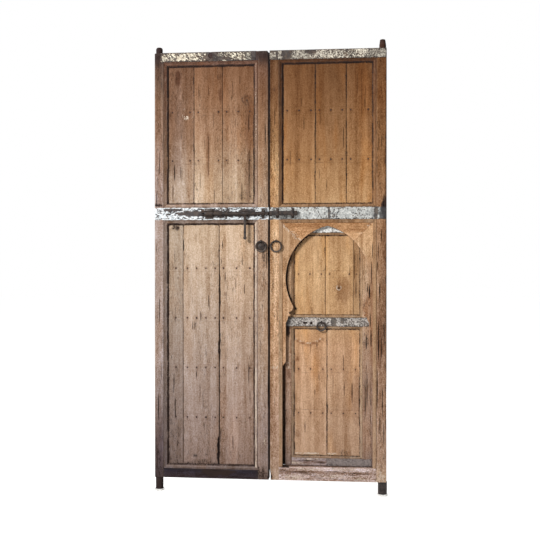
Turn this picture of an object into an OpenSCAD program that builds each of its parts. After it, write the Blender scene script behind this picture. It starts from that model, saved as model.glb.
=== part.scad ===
// Antique double door: two pivot-hung leaves of stiles, rails and boards, with a wicket behind a
// horseshoe arch in the right leaf, tin-clad rails, three ring pulls and a sliding bolt.
// Millimetres. +Z is up and -Y is the street face. The origin is on the floor, midway between the
// leaves and in the plane of the pivots. A leaf is drawn from its meeting edge outwards.

/* [Leaves] */
// Width of one leaf
leaf_w = 668; // [600:1:760]
// Height of one leaf without its pivots
leaf_h = 2470; // [2300:1:2700]
// Gap between the two leaves
leaf_gap = 4.5; // [4.5:0.5:12]
// Rounding of the left meeting stile's upper corner
left_corner_r = 10; // [4:1:30]
// Rounding of the right meeting stile's lower corner
right_corner_r = 16; // [4:1:30]
// Thickness of stiles and rails
frame_t = 60; // [58:1:70]
// Width of the left leaf's meeting stile
left_stile_w = 62; // [56:1:80]
// Width of the left leaf's pivot stile
left_post_w = 52; // [50:1:70]
// Width of the right leaf's meeting stile
right_stile_w = 54; // [50:1:66]
// Width of the right leaf's pivot stile
right_post_w = 58; // [54:1:70]
// Height of the top rails
top_rail_h = 54; // [44:1:80]
// Underside of the middle rails above the leaf's foot
mid_rail_z = 1499; // [1450:1:1560]
// Height of the middle rails
mid_rail_h = 71; // [66:1:90]
// Height of the left leaf's bottom rail
left_bottom_rail_h = 54; // [44:1:90]
// Height of the right leaf's bottom rail
right_bottom_rail_h = 78; // [60:1:100]
// Length of the rails' tenons
tenon_l = 34; // [20:1:40]
// Thickness of the rails' tenons
tenon_t = 18; // [12:1:22]
// Shoulder above and below each tenon
tenon_shoulder = 12; // [6:1:16]
// Play round each tenon and housing
joinery_play = 0.2; // [0.1:0.05:0.4]

/* [Pivots] */
// Distance of the pivot axis from the leaf's outer edge
pivot_inset = 22; // [22:1:26]
// Radius of the upper pivots
top_pivot_r = 20; // [16:0.5:22]
// Straight length of the upper pivots
top_pivot_straight = 24; // [20:1:30]
// Rounding of the left upper pivot's worn end
left_pivot_round = 15; // [8:1:16]
// Tapered length of the right upper pivot
right_pivot_taper = 30; // [20:1:40]
// Radius at the right upper pivot's end
right_pivot_tip_r = 15; // [10:0.5:16]
// Length of the lower pivots below the leaf
foot_pivot_l = 77; // [50:1:110]
// Radius of the left lower pivot
left_foot_r = 23.5; // [18:0.5:24]
// Rounding of the left lower pivot's end
left_foot_round = 7; // [4:1:10]
// Outer radius of the right lower pivot's iron shoe
right_shoe_r = 26; // [20:0.5:26.5]
// Wall of the iron shoe
shoe_wall = 3; // [2:0.5:4]
// Thickness of the iron shoe's closed end
shoe_floor = 5; // [4:0.5:8]
// Height of the floor sockets
socket_h = 12; // [10:1:20]
// Thickness of the floor sockets' base
socket_floor = 4; // [3:0.5:6]
// Wall of the floor sockets
socket_wall = 5; // [4:0.5:8]
// Running clearance of the lower pivots in their sockets
pivot_play = 0.4; // [0.3:0.05:0.8]

/* [Boards and battens] */
// Thickness of the leaf boards
board_t = 22; // [18:1:24]
// Depth of the boards behind the frame's face
board_recess = 18; // [17:1:19]
// Open joint between two boards
board_gap = 2; // [1:0.5:4]
// Eased edge along each board's face
board_ease = 2.5; // [1:0.5:4]
// Widths of the left leaf's upper boards from the meeting stile, the last takes the rest
left_upper_widths = [209, 167]; // [120:1:230]
// Widths of the left leaf's lower boards from the meeting stile, the last takes the rest
left_lower_widths = [229, 212]; // [120:1:240]
// Widths of the right leaf's upper boards from the meeting stile, the last takes the rest
right_upper_widths = [208, 178]; // [120:1:230]
// Thickness of the battens behind the boards
batten_t = 30; // [24:1:34]
// Height of the battens
batten_h = 90; // [70:1:120]
// Depth of the battens' housings in the stiles
batten_house = 12; // [8:1:16]
// Battens behind the upper boards
upper_row_count = 2; // [1:1:3]
// Lift of the upper battens above even spacing
upper_row_shift = -8; // [-40:1:40]
// Battens behind the left leaf's lower boards
lower_row_count = 4; // [2:1:6]
// Lift of the lower battens above even spacing
lower_row_shift = 9; // [-40:1:40]
// Width of the left leaf's mouldings
left_moulding_w = 26; // [20:1:32]
// Width of the right leaf's mouldings
right_moulding_w = 22; // [18:1:28]
// Depth of the mouldings in front of the boards
moulding_d = 16; // [14:0.5:17]
// Radius of the mouldings' cove
cove_r = 11; // [6:0.5:12]

/* [Nails] */
// Radius of the nail heads
nail_head_r = 6; // [4:0.5:8]
// Height of the nail heads
nail_head_h = 3; // [2:0.5:4]
// Radius of the nail shanks
nail_shank_r = 2.2; // [1.5:0.1:3]
// Length of the nails that hold the leaf boards
nail_l = 42; // [32:1:46]
// Length of the nails that hold the wicket boards
wicket_nail_l = 28; // [22:1:30]
// Distance of the outermost nails from the edge of each board's open face
nail_inset = 24; // [14:1:30]
// Nails in each row on the left leaf's upper boards, from the meeting stile
left_upper_nails = [3, 2, 2]; // [1:1:4]
// Nails in each row on the left leaf's lower boards, from the meeting stile
left_lower_nails = [3, 4, 1]; // [1:1:4]
// Nails in each row on the right leaf's upper boards, from the meeting stile
right_upper_nails = [3, 3, 2]; // [1:1:4]
// Nails in each row on the wicket's upper boards, from the free edge
wicket_upper_nails = [3, 2, 1]; // [1:1:3]
// Nails in each row on the wicket's lower boards, from the free edge
wicket_lower_nails = [3, 3]; // [1:1:4]

/* [Arch] */
// Thickness of the arch boards
arch_t = 22; // [18:1:24]
// Depth of the arch boards behind the frame's face
arch_recess = 6; // [5:0.5:7]
// Depth of the grooves that hold the arch boards
arch_groove = 10; // [6:1:14]
// Wood left beside the arch at its widest
haunch_w = 39; // [32:1:48]
// Wood left above the arch's crown
crown_h = 37; // [28:1:48]
// Distance of each side's centre past the middle line
arch_offset = 71; // [60:1:82]
// Drop of the cusps below the arch's widest line
cusp_drop = 160; // [140:1:180]
// Steps of the carved capital, outwards and downwards from the cusp
capital_steps = [[6, 24], [27, 37], [13, 50], [31, 59], [32, 72]]; // [0:1:90]
// Drop of the capital's foot below the cusps
capital_drop = 95; // [80:1:110]
// Wood left beside the opening between the columns
column_w = 40; // [34:1:46]
// Top of the curve from column to plinth above the leaf's foot
plinth_curve_z = 684; // [600:1:760]
// Height of the curve from column to plinth
plinth_curve_h = 32; // [20:1:60]
// Wood left beside the opening between the plinths
plinth_w = 21; // [18:1:30]
// Depth of the corner mitres of the arch boards
arch_mitre = 152; // [148:1:160]
// Width of the moulding round the arch boards
arch_moulding_w = 20; // [12:1:20]
// Depth of the moulding in front of the arch boards
arch_moulding_d = 8; // [6:0.5:10]
// Cove of the moulding round the arch boards
arch_cove_r = 5; // [3:0.5:6]

/* [Wicket] */
// Thickness of the wicket's frame
wicket_t = 34; // [32:1:36]
// Clearance between the arch boards and the wicket
wicket_clear = 2; // [1.5:0.5:4]
// Gap between the wicket's free edge and the meeting stile
wicket_free_gap = 33; // [26:1:36]
// Distance of the wicket's pivot axis from the pivot stile
wicket_axis_inset = 25; // [24:1:32]
// Gap below the wicket
wicket_foot_gap = 4; // [3:0.5:8]
// Gap above the wicket
wicket_head_gap = 6; // [4:0.5:10]
// Width of the wicket's free stile
lock_stile_w = 38; // [34:1:46]
// Gap between the free stile's closing flange and the meeting stile
wicket_flange_gap = 4; // [3:0.5:8]
// Thickness of the free stile's closing flange
wicket_flange_t = 8; // [6:0.5:12]
// Width of the wicket's hinge stile up to its pivot axis
hinge_stile_w = 53; // [46:1:60]
// Height of the wicket's top rail
wicket_top_rail_h = 70; // [60:1:80]
// Underside of the wicket's middle rail above the leaf's foot
wicket_mid_rail_z = 884; // [850:1:900]
// Height of the wicket's middle rail
wicket_mid_rail_h = 52; // [48:1:60]
// Height of the wicket's bottom rail
wicket_bottom_rail_h = 43; // [36:1:60]
// Thickness of the wicket's boards
wicket_board_t = 16; // [12:1:18]
// Depth of the wicket's boards behind its face
wicket_recess = 7; // [6:0.5:9]
// Widths of the wicket's upper boards after the first, which takes the rest
wicket_upper_widths = [160, 52]; // [46:1:180]
// Width of the wicket's first lower board from the free edge, the last takes the rest
wicket_lower_widths = [204]; // [150:1:260]
// Thickness of the wicket's battens
wicket_batten_t = 18; // [14:1:20]
// Height of the wicket's battens
wicket_batten_h = 80; // [60:1:100]
// Battens behind the wicket's upper boards
wicket_upper_row_count = 1; // [1:1:2]
// Battens behind the wicket's lower boards
wicket_lower_row_count = 2; // [1:1:4]
// Lift of the wicket's battens above even spacing
wicket_row_shift = 6; // [-30:1:30]
// Width of the wicket's mouldings
wicket_moulding_w = 16; // [12:1:20]
// Depth of the wicket's mouldings
wicket_moulding_d = 6; // [5:0.5:6.5]
// Cove of the wicket's mouldings
wicket_cove_r = 4; // [2:0.5:4.5]
// Length of the wicket rails' tenons
wicket_tenon_l = 24; // [14:1:28]
// Thickness of the wicket rails' tenons
wicket_tenon_t = 11; // [8:1:14]
// Shoulder above and below the wicket rails' tenons
wicket_tenon_shoulder = 8; // [5:1:10]
// Radius of the wicket's pivots
wicket_pin_r = 9; // [7:0.5:9.5]
// Depth of the wicket's pivots in the leaf's rails
wicket_pin_depth = 30; // [20:1:40]
// Running clearance of the wicket's pivots
wicket_pin_play = 0.3; // [0.2:0.05:0.5]

/* [Tin] */
// Thickness of the tin sheets on the leaves
tin_t = 1.2; // [0.8:0.1:2]
// Thickness of the tin sheets on the wicket
wicket_tin_t = 1; // [0.6:0.1:1.2]
// Bare stretch of the left leaf's top at the pivot stile
left_tin_bare = 35; // [0:1:80]
// Bare stretch of the left leaf's top at the meeting edge
left_tin_start = 76; // [20:1:120]
// Return of the top sheets over the rails' upper edge
tin_return = 22; // [10:1:40]
// Start of the wicket's bottom sheet from its free edge
wicket_tin_start = 238; // [100:1:320]

/* [Ring pulls] */
// Outer diameter of the left leaf's ring
left_ring_d = 67; // [56:1:76]
// Outer diameter of the right leaf's ring
right_ring_d = 70; // [56:1:76]
// Outer diameter of the wicket's ring
wicket_ring_d = 57; // [50:1:64]
// Diameter of the rings' wire
ring_wire = 9; // [7:0.5:9.5]
// Clearance of the wire in its eye
ring_play = 0.5; // [0.4:0.05:0.8]
// Wall of the eyes round the wire
eye_wall = 2.8; // [2:0.1:3]
// Thickness of the eyes
eye_t = 6; // [4:0.5:7]
// Distance of the wire's middle from the face behind it
ring_standoff = 8.2; // [8:0.1:10]
// Radius of the eyes' shanks
eye_shank_r = 3.5; // [2.5:0.5:4]
// Depth of the eyes' shanks in the wood
eye_shank_l = 26; // [14:1:30]
// Middle of the left ring from the leaf's meeting edge
left_ring_u = 44; // [40:1:48]
// Middle of the right ring from the leaf's meeting edge
right_ring_u = 38; // [36:1:42]
// Height of the leaf rings' middles above the leaf's foot
ring_z = 1345; // [1200:1:1400]
// Middle of the wicket's ring from the arch's middle line, towards the free edge
wicket_ring_offset = 36; // [0:1:80]
// Height of the wicket ring's eye above its middle rail's underside
wicket_eye_rise = 24; // [16:1:36]
// Diameter of the plate behind the left ring
ring_plate_d = 46; // [36:1:48]
// Thickness of the plate behind the left ring
ring_plate_t = 2; // [1.5:0.1:2.4]
// Radius of the boss in the middle of the plate
ring_boss_r = 7; // [4:0.5:9]
// Height of the boss on the plate
ring_boss_h = 1; // [0.5:0.1:1.2]

/* [Bolt] */
// Radius of the bolt's bar
bolt_r = 10; // [8:0.5:10.5]
// Travel of the bolt
bolt_travel = 60; // [40:1:70]
// Distance of the bolt's axis from the tin behind it
bolt_standoff = 14.8; // [14.4:0.1:16]
// Distance of the drawn bolt's nose from the leaf's meeting edge
bolt_nose = 1.5; // [1:0.1:3]
// Chamfer of the bolt's nose
bolt_chamfer = 3; // [2:0.5:5]
// Length of the bolt's bar
bolt_l = 396; // [390:1:420]
// Depth of the fork at the bolt's tail
bolt_fork_l = 26; // [16:1:40]
// Width of the slot in the bolt's fork
bolt_fork_w = 7; // [5:0.5:9]
// Start of the thick part of the bolt from the leaf's meeting edge
bolt_swell_u = 270; // [262:1:275]
// Length of the thick part of the bolt
bolt_swell_l = 46; // [30:1:50]
// Radius of the thick part of the bolt
bolt_swell_r = 12.5; // [11:0.5:14]
// Clearance of the bolt in its guides, keeper and handle
bolt_play = 0.5; // [0.4:0.05:0.8]
// Start of the box guide from the leaf's meeting edge
guide_u = 322; // [320:1:326]
// Length of the box guide
guide_l = 48; // [40:1:50]
// Wall of the guides round the bolt
guide_wall = 4.5; // [3.5:0.5:6]
// Reach of the guides' feet above and below the bolt's axis
guide_foot = 30; // [24:1:33]
// Thickness of the guides' feet
guide_foot_t = 4; // [3:0.5:5]
// Start of the nose staple from the leaf's meeting edge
nose_staple_u = 25; // [20:1:30]
// Length of the bolt's staples
staple_l = 16; // [12:1:20]
// Middle of the handle from the leaf's meeting edge
handle_u = 136; // [130:1:150]
// Length of the handle's eye
handle_eye_l = 27; // [20:1:34]
// Wall of the handle's eye
handle_eye_wall = 2.8; // [2:0.1:3.2]
// Length of the handle below the bolt's axis
handle_l = 153; // [120:1:180]
// Width of the handle's arm
handle_w = 14; // [10:1:18]
// Thickness of the handle's arm
handle_t = 7; // [5:0.5:9]
// Width of the handle's flared end
handle_flare_w = 21; // [16:1:26]
// Length of the handle's flared end
handle_flare_l = 20; // [14:1:30]
// Radius of the collars beside the handle's eye
handle_collar_r = 12; // [11:0.25:12.5]
// Length of the collars beside the handle's eye
handle_collar_l = 5; // [3:0.5:8]
// Start of the keeper's box from the leaf's meeting edge
keeper_u = 2; // [2:0.5:4]
// Length of the keeper's box
keeper_l = 158; // [150:1:180]
// Wall of the keeper's box
keeper_wall = 2; // [1.5:0.25:2.5]
// Room for the bolt in the keeper on each side
keeper_play = 1; // [0.8:0.1:1.5]
// Thickness of the keeper's staples
keeper_staple_t = 4; // [3:0.5:5]
// Places of the keeper's staples from the leaf's meeting edge
keeper_staples_u = [38, 126]; // [20:1:140]

/* [Hidden] */

$fn = 64;
cut = 1;
grey_wood = "rosybrown";
dark_wood = "dimgray";
gold_wood = "peru";
pale_wood = "burlywood";
tin = "gainsboro";
iron = "darkslategray";

// Depths, from the street face at the front to the house side at the back
front_y = -frame_t / 2;
back_y = frame_t / 2;
board_front = front_y + board_recess;
board_back = board_front + board_t;
arch_front = front_y + arch_recess;
arch_back = arch_front + arch_t;
tin_front = front_y - tin_t;
wicket_front = arch_back + wicket_clear;
wicket_back = wicket_front + wicket_t;
wicket_mid_y = wicket_front + wicket_t / 2;
wicket_board_front = wicket_front + wicket_recess;
wicket_board_back = wicket_board_front + wicket_board_t;
wicket_tin_front = wicket_front - wicket_tin_t;
bolt_y = tin_front - bolt_standoff;
keeper_half = bolt_r + keeper_play + keeper_wall;

// Heights above the leaf's foot
leaf_z = foot_pivot_l + socket_floor + pivot_play;
top_rail_z = leaf_h - top_rail_h;
upper_z = mid_rail_z + mid_rail_h;
bolt_z = mid_rail_z + mid_rail_h / 2;
wicket_z = right_bottom_rail_h + wicket_foot_gap;
wicket_top = mid_rail_z - wicket_head_gap;
wicket_top_rail_z = wicket_top - wicket_top_rail_h;
wicket_upper_z = wicket_mid_rail_z + wicket_mid_rail_h;
wicket_lower_z = wicket_z + wicket_bottom_rail_h;

// Places across a leaf, from its meeting edge
pivot_u = leaf_w - pivot_inset;
right_post_u = leaf_w - right_post_w;
left_post_u = leaf_w - left_post_w;
arch_u = (right_stile_w + right_post_u) / 2;
arch_half_w = (right_post_u - right_stile_w) / 2;
wicket_u = right_stile_w + wicket_free_gap;
wicket_panel_u = wicket_u + lock_stile_w;
wicket_axis_u = right_post_u - wicket_axis_inset;
hinge_stile_u = wicket_axis_u - hinge_stile_w;
wicket_ring_u = arch_u - wicket_ring_offset;

// Arcs of the arch, from the wood left round it
arch_r = arch_half_w - haunch_w + arch_offset;
arch_centre_z = mid_rail_z - crown_h - sqrt(arch_r ^ 2 - arch_offset ^ 2);
cusp_z = arch_centre_z - cusp_drop;
cusp_half_w = sqrt(arch_r ^ 2 - cusp_drop ^ 2) - arch_offset;
column_half_w = arch_half_w - column_w;
plinth_half_w = arch_half_w - plinth_w;

// Nail rows and battens, spread evenly over each panel and shifted
function rows(low, high, count, shift) = [for (i = [1 : count]) low + (high - low) * i / (count + 1) + shift];
upper_rows = rows(upper_z, top_rail_z, upper_row_count, upper_row_shift);
lower_rows = rows(left_bottom_rail_h, mid_rail_z, lower_row_count, lower_row_shift);
wicket_upper_rows = rows(wicket_upper_z, wicket_top_rail_z, wicket_upper_row_count, wicket_row_shift);
wicket_lower_rows = rows(wicket_lower_z, wicket_mid_rail_z, wicket_lower_row_count, wicket_row_shift);

// Edges of the boards of each panel
function edges(start, widths, end) =
    len(widths) == 0 ? [start, end] : concat([start], edges(start + widths[0], tail(widths), end));
wicket_first_w = hinge_stile_u - wicket_panel_u - wicket_upper_widths[0] - wicket_upper_widths[1];
function tail(list) = [for (i = [1 : 1 : len(list) - 1]) list[i]];
left_upper_edges = edges(left_stile_w, left_upper_widths, left_post_u);
left_lower_edges = edges(left_stile_w, left_lower_widths, left_post_u);
right_upper_edges = edges(right_stile_w, right_upper_widths, right_post_u);
wicket_upper_edges =
    edges(wicket_panel_u, [wicket_first_w, wicket_upper_widths[0]], hinge_stile_u);
wicket_lower_edges = edges(wicket_panel_u, wicket_lower_widths, hinge_stile_u);

// Nail places across one row: each board's open face, less an inset, shared out evenly
function open_edge(list, i, w) = i == 0 ? list[0] + w : i == len(list) - 1 ? list[i] - w : list[i];
function spread(a, b, n) =
    n == 1 ? [(a + b) / 2] : [for (i = [0 : n - 1]) a + nail_inset + (b - a - 2 * nail_inset) * i / (n - 1)];
function nail_row(list, counts, w) =
    [for (i = [0 : len(counts) - 1]) each spread(open_edge(list, i, w), open_edge(list, i + 1, w), counts[i])];
left_upper_row = nail_row(left_upper_edges, left_upper_nails, left_moulding_w);
left_lower_row = nail_row(left_lower_edges, left_lower_nails, left_moulding_w);
right_upper_row = nail_row(right_upper_edges, right_upper_nails, right_moulding_w);
wicket_upper_row = nail_row(wicket_upper_edges, wicket_upper_nails, wicket_moulding_w);
wicket_lower_row = nail_row(wicket_lower_edges, wicket_lower_nails, wicket_moulding_w);

// Shared placing
module on_right() translate([leaf_gap / 2, 0, leaf_z]) children();
module on_left() mirror([1, 0, 0]) translate([leaf_gap / 2, 0, leaf_z]) children();
module slab(u0, u1, y0, y1, z0, z1) translate([u0, y0, z0]) cube([u1 - u0, y1 - y0, z1 - z0]);
module along_y(u, y, z) translate([u, y, z]) rotate([-90, 0, 0]) children();
module along_u(u, y, z) translate([u, y, z]) rotate([90, 0, 90]) children();
module facing(u, y, z) translate([u, y, z]) rotate([90, 0, 0]) children();

// Joinery of the leaves
module rail(u0, u1, z0, z1) {
    slab(u0, u1, front_y, back_y, z0, z1);
    rail_tenons(u0, u1, z0, z1, 0, 0);
}
module rail_tenons(u0, u1, z0, z1, play, end_gap)
    slab(u0 - tenon_l - end_gap, u1 + tenon_l + end_gap, -tenon_t / 2 - play, tenon_t / 2 + play,
         z0 + tenon_shoulder - play, z1 - tenon_shoulder + play);
module leaf_mortises(u0, u1, bottom_h) {
    rail_tenons(u0, u1, 0, bottom_h, joinery_play, cut);
    rail_tenons(u0, u1, mid_rail_z, upper_z, joinery_play, cut);
    rail_tenons(u0, u1, top_rail_z, leaf_h, joinery_play, cut);
}
module battens(u0, u1, rows, play = 0)
    for (z = rows)
        slab(u0 - batten_house - play, u1 + batten_house + play, board_back, board_back + batten_t,
             z - batten_h / 2 - play, z + batten_h / 2 + play);

module rounded_corner(r)
    facing(0, back_y + cut, 0)
        linear_extrude(frame_t + 2 * cut)
            difference() {
                translate([-cut, -cut]) square([r + cut, r + cut]);
                translate([r, r]) circle(r);
            }

// Boards, nails and mouldings
module board(u0, u1, front, thickness, z0, z1) {
    back = front + thickness;
    translate([0, 0, z0])
        linear_extrude(z1 - z0)
            polygon([[u0 + board_ease, front], [u1 - board_ease, front], [u1, front + board_ease],
                     [u1, back], [u0, back], [u0, front + board_ease]]);
}
module panel_board(list, i, front, thickness, z0, z1)
    board(list[i] + (i == 0 ? 0 : board_gap / 2), list[i + 1] - (i == len(list) - 2 ? 0 : board_gap / 2),
          front, thickness, z0, z1);
module nail_holes(row, rows, front, depth)
    for (z = rows, u = row)
        along_y(u, front - cut, z) cylinder(r = nail_shank_r + joinery_play, h = depth + 2 * cut, $fn = 24);
module nails(row, rows, front, depth)
    for (z = rows, u = row)
        along_y(u, front - nail_head_h, z) {
            cylinder(r1 = nail_head_r / 2, r2 = nail_head_r, h = nail_head_h, $fn = 24);
            cylinder(r = nail_shank_r, h = nail_head_h + depth, $fn = 24);
        }
module moulding_strip(length, width, depth, cove, start = 1, end = 1)
    intersection() {
        rotate([90, 0, 90])
            linear_extrude(length)
                difference() {
                    square([width, depth]);
                    translate([width, depth]) circle(cove);
                }
        linear_extrude(depth)
            polygon([[joinery_play, 0], [length - joinery_play, 0],
                     [length - joinery_play - width * end, width], [joinery_play + width * start, width]]);
    }
module moulding_frame(u0, u1, z0, z1, back, width, depth, cove) {
    facing(u0, back, z0) {
        moulding_strip(u1 - u0, width, depth, cove);
        translate([u1 - u0, z1 - z0]) rotate(180) moulding_strip(u1 - u0, width, depth, cove);
        translate([0, z1 - z0]) rotate(-90) moulding_strip(z1 - z0, width, depth, cove);
        translate([u1 - u0, 0]) rotate(90) moulding_strip(z1 - z0, width, depth, cove);
    }
}

// Pivots and floor sockets
module floor_socket(r) {
    inner = r + pivot_play;
    difference() {
        cylinder(r = inner + socket_wall, h = socket_h);
        translate([0, 0, socket_floor]) cylinder(r = inner, h = socket_h);
    }
}
module left_floor_socket()
    color(iron) translate([-leaf_gap / 2 - pivot_u, 0, 0]) floor_socket(left_foot_r);
module right_floor_socket()
    color(iron) translate([leaf_gap / 2 + pivot_u, 0, 0]) floor_socket(right_shoe_r);
module left_top_pivot() {
    cylinder(r = top_pivot_r, h = top_pivot_straight);
    translate([0, 0, top_pivot_straight]) round_end(top_pivot_r, left_pivot_round);
}
module right_top_pivot() {
    cylinder(r = top_pivot_r, h = top_pivot_straight);
    translate([0, 0, top_pivot_straight])
        cylinder(r1 = top_pivot_r, r2 = right_pivot_tip_r, h = right_pivot_taper);
}
module round_end(r, fillet)
    rotate_extrude()
        union() {
            square([r - fillet, fillet]);
            intersection() {
                translate([r - fillet, 0]) circle(fillet);
                square([r, fillet]);
            }
        }
module left_foot_pivot() {
    translate([0, 0, left_foot_round - foot_pivot_l]) {
        cylinder(r = left_foot_r, h = foot_pivot_l - left_foot_round);
        mirror([0, 0, 1]) round_end(left_foot_r, left_foot_round);
    }
}
module right_pivot_shoe()
    color(iron)
        on_right()
            translate([pivot_u, 0, -foot_pivot_l])
                difference() {
                    cylinder(r = right_shoe_r, h = foot_pivot_l);
                    translate([0, 0, shoe_floor])
                        cylinder(r = right_shoe_r - shoe_wall + joinery_play, h = foot_pivot_l);
                }

// Left leaf
module left_pivot_stile()
    color(grey_wood)
        on_left()
            difference() {
                union() {
                    slab(left_post_u, leaf_w, front_y, back_y, 0, leaf_h);
                    translate([pivot_u, 0, leaf_h]) left_top_pivot();
                    translate([pivot_u, 0, 0]) left_foot_pivot();
                }
                left_joinery_cuts();
            }
module left_meeting_stile()
    color(grey_wood)
        on_left()
            difference() {
                slab(0, left_stile_w, front_y, back_y, 0, leaf_h);
                translate([0, 0, leaf_h]) mirror([0, 0, 1]) rounded_corner(left_corner_r);
                left_joinery_cuts();
                eye_hole(left_ring_u, ring_z + ring_path_r(left_ring_d), front_y);
            }
module left_joinery_cuts() {
    leaf_mortises(left_stile_w, left_post_u, left_bottom_rail_h);
    battens(left_stile_w, left_post_u, concat(lower_rows, upper_rows), joinery_play);
}
module left_top_rail() color(dark_wood) on_left() rail(left_stile_w, left_post_u, top_rail_z, leaf_h);
module left_mid_rail() color(dark_wood) on_left() rail(left_stile_w, left_post_u, mid_rail_z, upper_z);
module left_bottom_rail()
    color(dark_wood) on_left() rail(left_stile_w, left_post_u, 0, left_bottom_rail_h);
module left_upper_board(i)
    color(grey_wood)
        on_left()
            difference() {
                panel_board(left_upper_edges, i, board_front, board_t, upper_z, top_rail_z);
                nail_holes(left_upper_row, upper_rows, board_front, board_t);
            }
module left_lower_board(i)
    color(pale_wood)
        on_left()
            difference() {
                panel_board(left_lower_edges, i, board_front, board_t, left_bottom_rail_h, mid_rail_z);
                nail_holes(left_lower_row, lower_rows, board_front, board_t);
            }
module left_mouldings()
    color(grey_wood)
        on_left() {
            moulding_frame(left_stile_w, left_post_u, upper_z, top_rail_z, board_front,
                           left_moulding_w, moulding_d, cove_r);
            moulding_frame(left_stile_w, left_post_u, left_bottom_rail_h, mid_rail_z, board_front,
                           left_moulding_w, moulding_d, cove_r);
        }
module left_battens()
    color(grey_wood)
        on_left()
            difference() {
                battens(left_stile_w, left_post_u, concat(lower_rows, upper_rows));
                nail_holes(left_upper_row, upper_rows, board_back, nail_l - board_t);
                nail_holes(left_lower_row, lower_rows, board_back, nail_l - board_t);
            }
module left_nails()
    color(iron)
        on_left() {
            nails(left_upper_row, upper_rows, board_front, nail_l);
            nails(left_lower_row, lower_rows, board_front, nail_l);
        }
module left_top_tin()
    color(tin) on_left() top_tin(left_tin_start, leaf_w - left_tin_bare, left_post_u);
module left_mid_tin() color(tin) on_left() mid_tin();
module top_tin(start, end, post_u) {
    slab(start, end, tin_front, front_y, top_rail_z, leaf_h);
    slab(start, min(end, post_u), tin_front, front_y + tin_return, leaf_h, leaf_h + tin_t);
}
module mid_tin() slab(0, leaf_w, tin_front, front_y, mid_rail_z, upper_z);

// Ring pulls
function ring_path_r(d) = (d - ring_wire) / 2;
module eye_hole(u, z, face)
    along_y(u, face - cut, z) cylinder(r = eye_shank_r + joinery_play, h = eye_shank_l + 2 * cut);
module ring_eye(u, z, face, behind = 0) {
    eye_r = ring_wire / 2 + ring_play;
    difference() {
        union() {
            along_u(u - eye_t / 2, face - ring_standoff, z) cylinder(r = eye_r + eye_wall, h = eye_t);
            along_y(u, face - ring_standoff, z)
                cylinder(r = eye_shank_r, h = ring_standoff + behind + eye_shank_l);
        }
        along_u(u - eye_t, face - ring_standoff, z) cylinder(r = eye_r, h = 2 * eye_t);
    }
}
module ring(u, z, face, d)
    facing(u, face - ring_standoff, z - ring_path_r(d))
        rotate_extrude() translate([ring_path_r(d), 0]) circle(ring_wire / 2);
module left_ring_plate()
    color(iron)
        on_left()
            along_y(left_ring_u, front_y - ring_plate_t, ring_z) {
                cylinder(d = ring_plate_d, h = ring_plate_t);
                translate([0, 0, -ring_boss_h]) cylinder(r1 = ring_boss_r / 2, r2 = ring_boss_r, h = ring_boss_h);
            }
module left_ring_eye()
    color(iron) on_left() ring_eye(left_ring_u, ring_z + ring_path_r(left_ring_d), front_y);
module left_ring()
    color(iron) on_left() ring(left_ring_u, ring_z + ring_path_r(left_ring_d), front_y, left_ring_d);

// Bolt on the left leaf
module bolt_bar()
    color(iron)
        on_left() {
            tail_u = bolt_l - bolt_nose;
            difference() {
                along_u(-bolt_nose, bolt_y, bolt_z) {
                    cylinder(r1 = bolt_r - bolt_chamfer, r2 = bolt_r, h = bolt_chamfer);
                    translate([0, 0, bolt_chamfer]) cylinder(r = bolt_r, h = bolt_l - bolt_chamfer);
                }
                slab(tail_u - bolt_fork_l, tail_u + cut, bolt_y - 2 * bolt_r, bolt_y + 2 * bolt_r,
                     bolt_z - bolt_fork_w / 2, bolt_z + bolt_fork_w / 2);
            }
        }
module bolt_collars()
    color(iron)
        on_left() {
            collar_u = handle_u - handle_eye_l / 2 - handle_collar_l - bolt_play;
            collar_step = handle_eye_l + handle_collar_l + 2 * bolt_play;
            bolt_sleeve(bolt_swell_u, bolt_swell_l, bolt_swell_r);
            for (step = [0, collar_step])
                bolt_sleeve(collar_u + step, handle_collar_l, handle_collar_r);
        }
module bolt_sleeve(u, length, r)
    along_u(u, bolt_y, bolt_z)
        difference() {
            cylinder(r = r, h = length);
            translate([0, 0, -cut]) cylinder(r = bolt_r + joinery_play, h = length + 2 * cut);
        }
module strap(u, length, bore_r)
    along_u(u, bolt_y, bolt_z)
        linear_extrude(length)
            difference() {
                intersection() {
                    union() {
                        circle(bore_r + guide_wall);
                        translate([0, -bore_r - guide_wall]) square([bolt_standoff, 2 * (bore_r + guide_wall)]);
                        translate([bolt_standoff - guide_foot_t, -guide_foot]) square([guide_foot_t, 2 * guide_foot]);
                    }
                    translate([-2 * guide_foot, -2 * guide_foot])
                        square([2 * guide_foot + bolt_standoff, 4 * guide_foot]);
                }
                circle(bore_r);
            }
module bolt_guides()
    color(iron)
        on_left() {
            strap(guide_u, guide_l, bolt_r + bolt_play);
            strap(nose_staple_u, staple_l, bolt_r + bolt_play);
        }
module bolt_handle()
    color(iron)
        on_left()
            difference() {
                union() {
                    along_u(handle_u - handle_eye_l / 2, bolt_y, bolt_z)
                        cylinder(r = bolt_r + bolt_play + handle_eye_wall, h = handle_eye_l);
                    facing(handle_u, bolt_y + handle_t / 2, bolt_z)
                        linear_extrude(handle_t)
                            handle_outline();
                }
                along_u(handle_u - handle_eye_l, bolt_y, bolt_z)
                    cylinder(r = bolt_r + bolt_play, h = 2 * handle_eye_l);
            }
module handle_outline() {
    translate([-handle_w / 2, -handle_l + handle_flare_l / 2])
        square([handle_w, handle_l - handle_flare_l / 2]);
    translate([0, -handle_l])
        polygon([[0, 0], [handle_flare_w / 2, handle_flare_l / 2], [handle_w / 2, handle_flare_l],
                 [-handle_w / 2, handle_flare_l], [-handle_flare_w / 2, handle_flare_l / 2]]);
}

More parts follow.
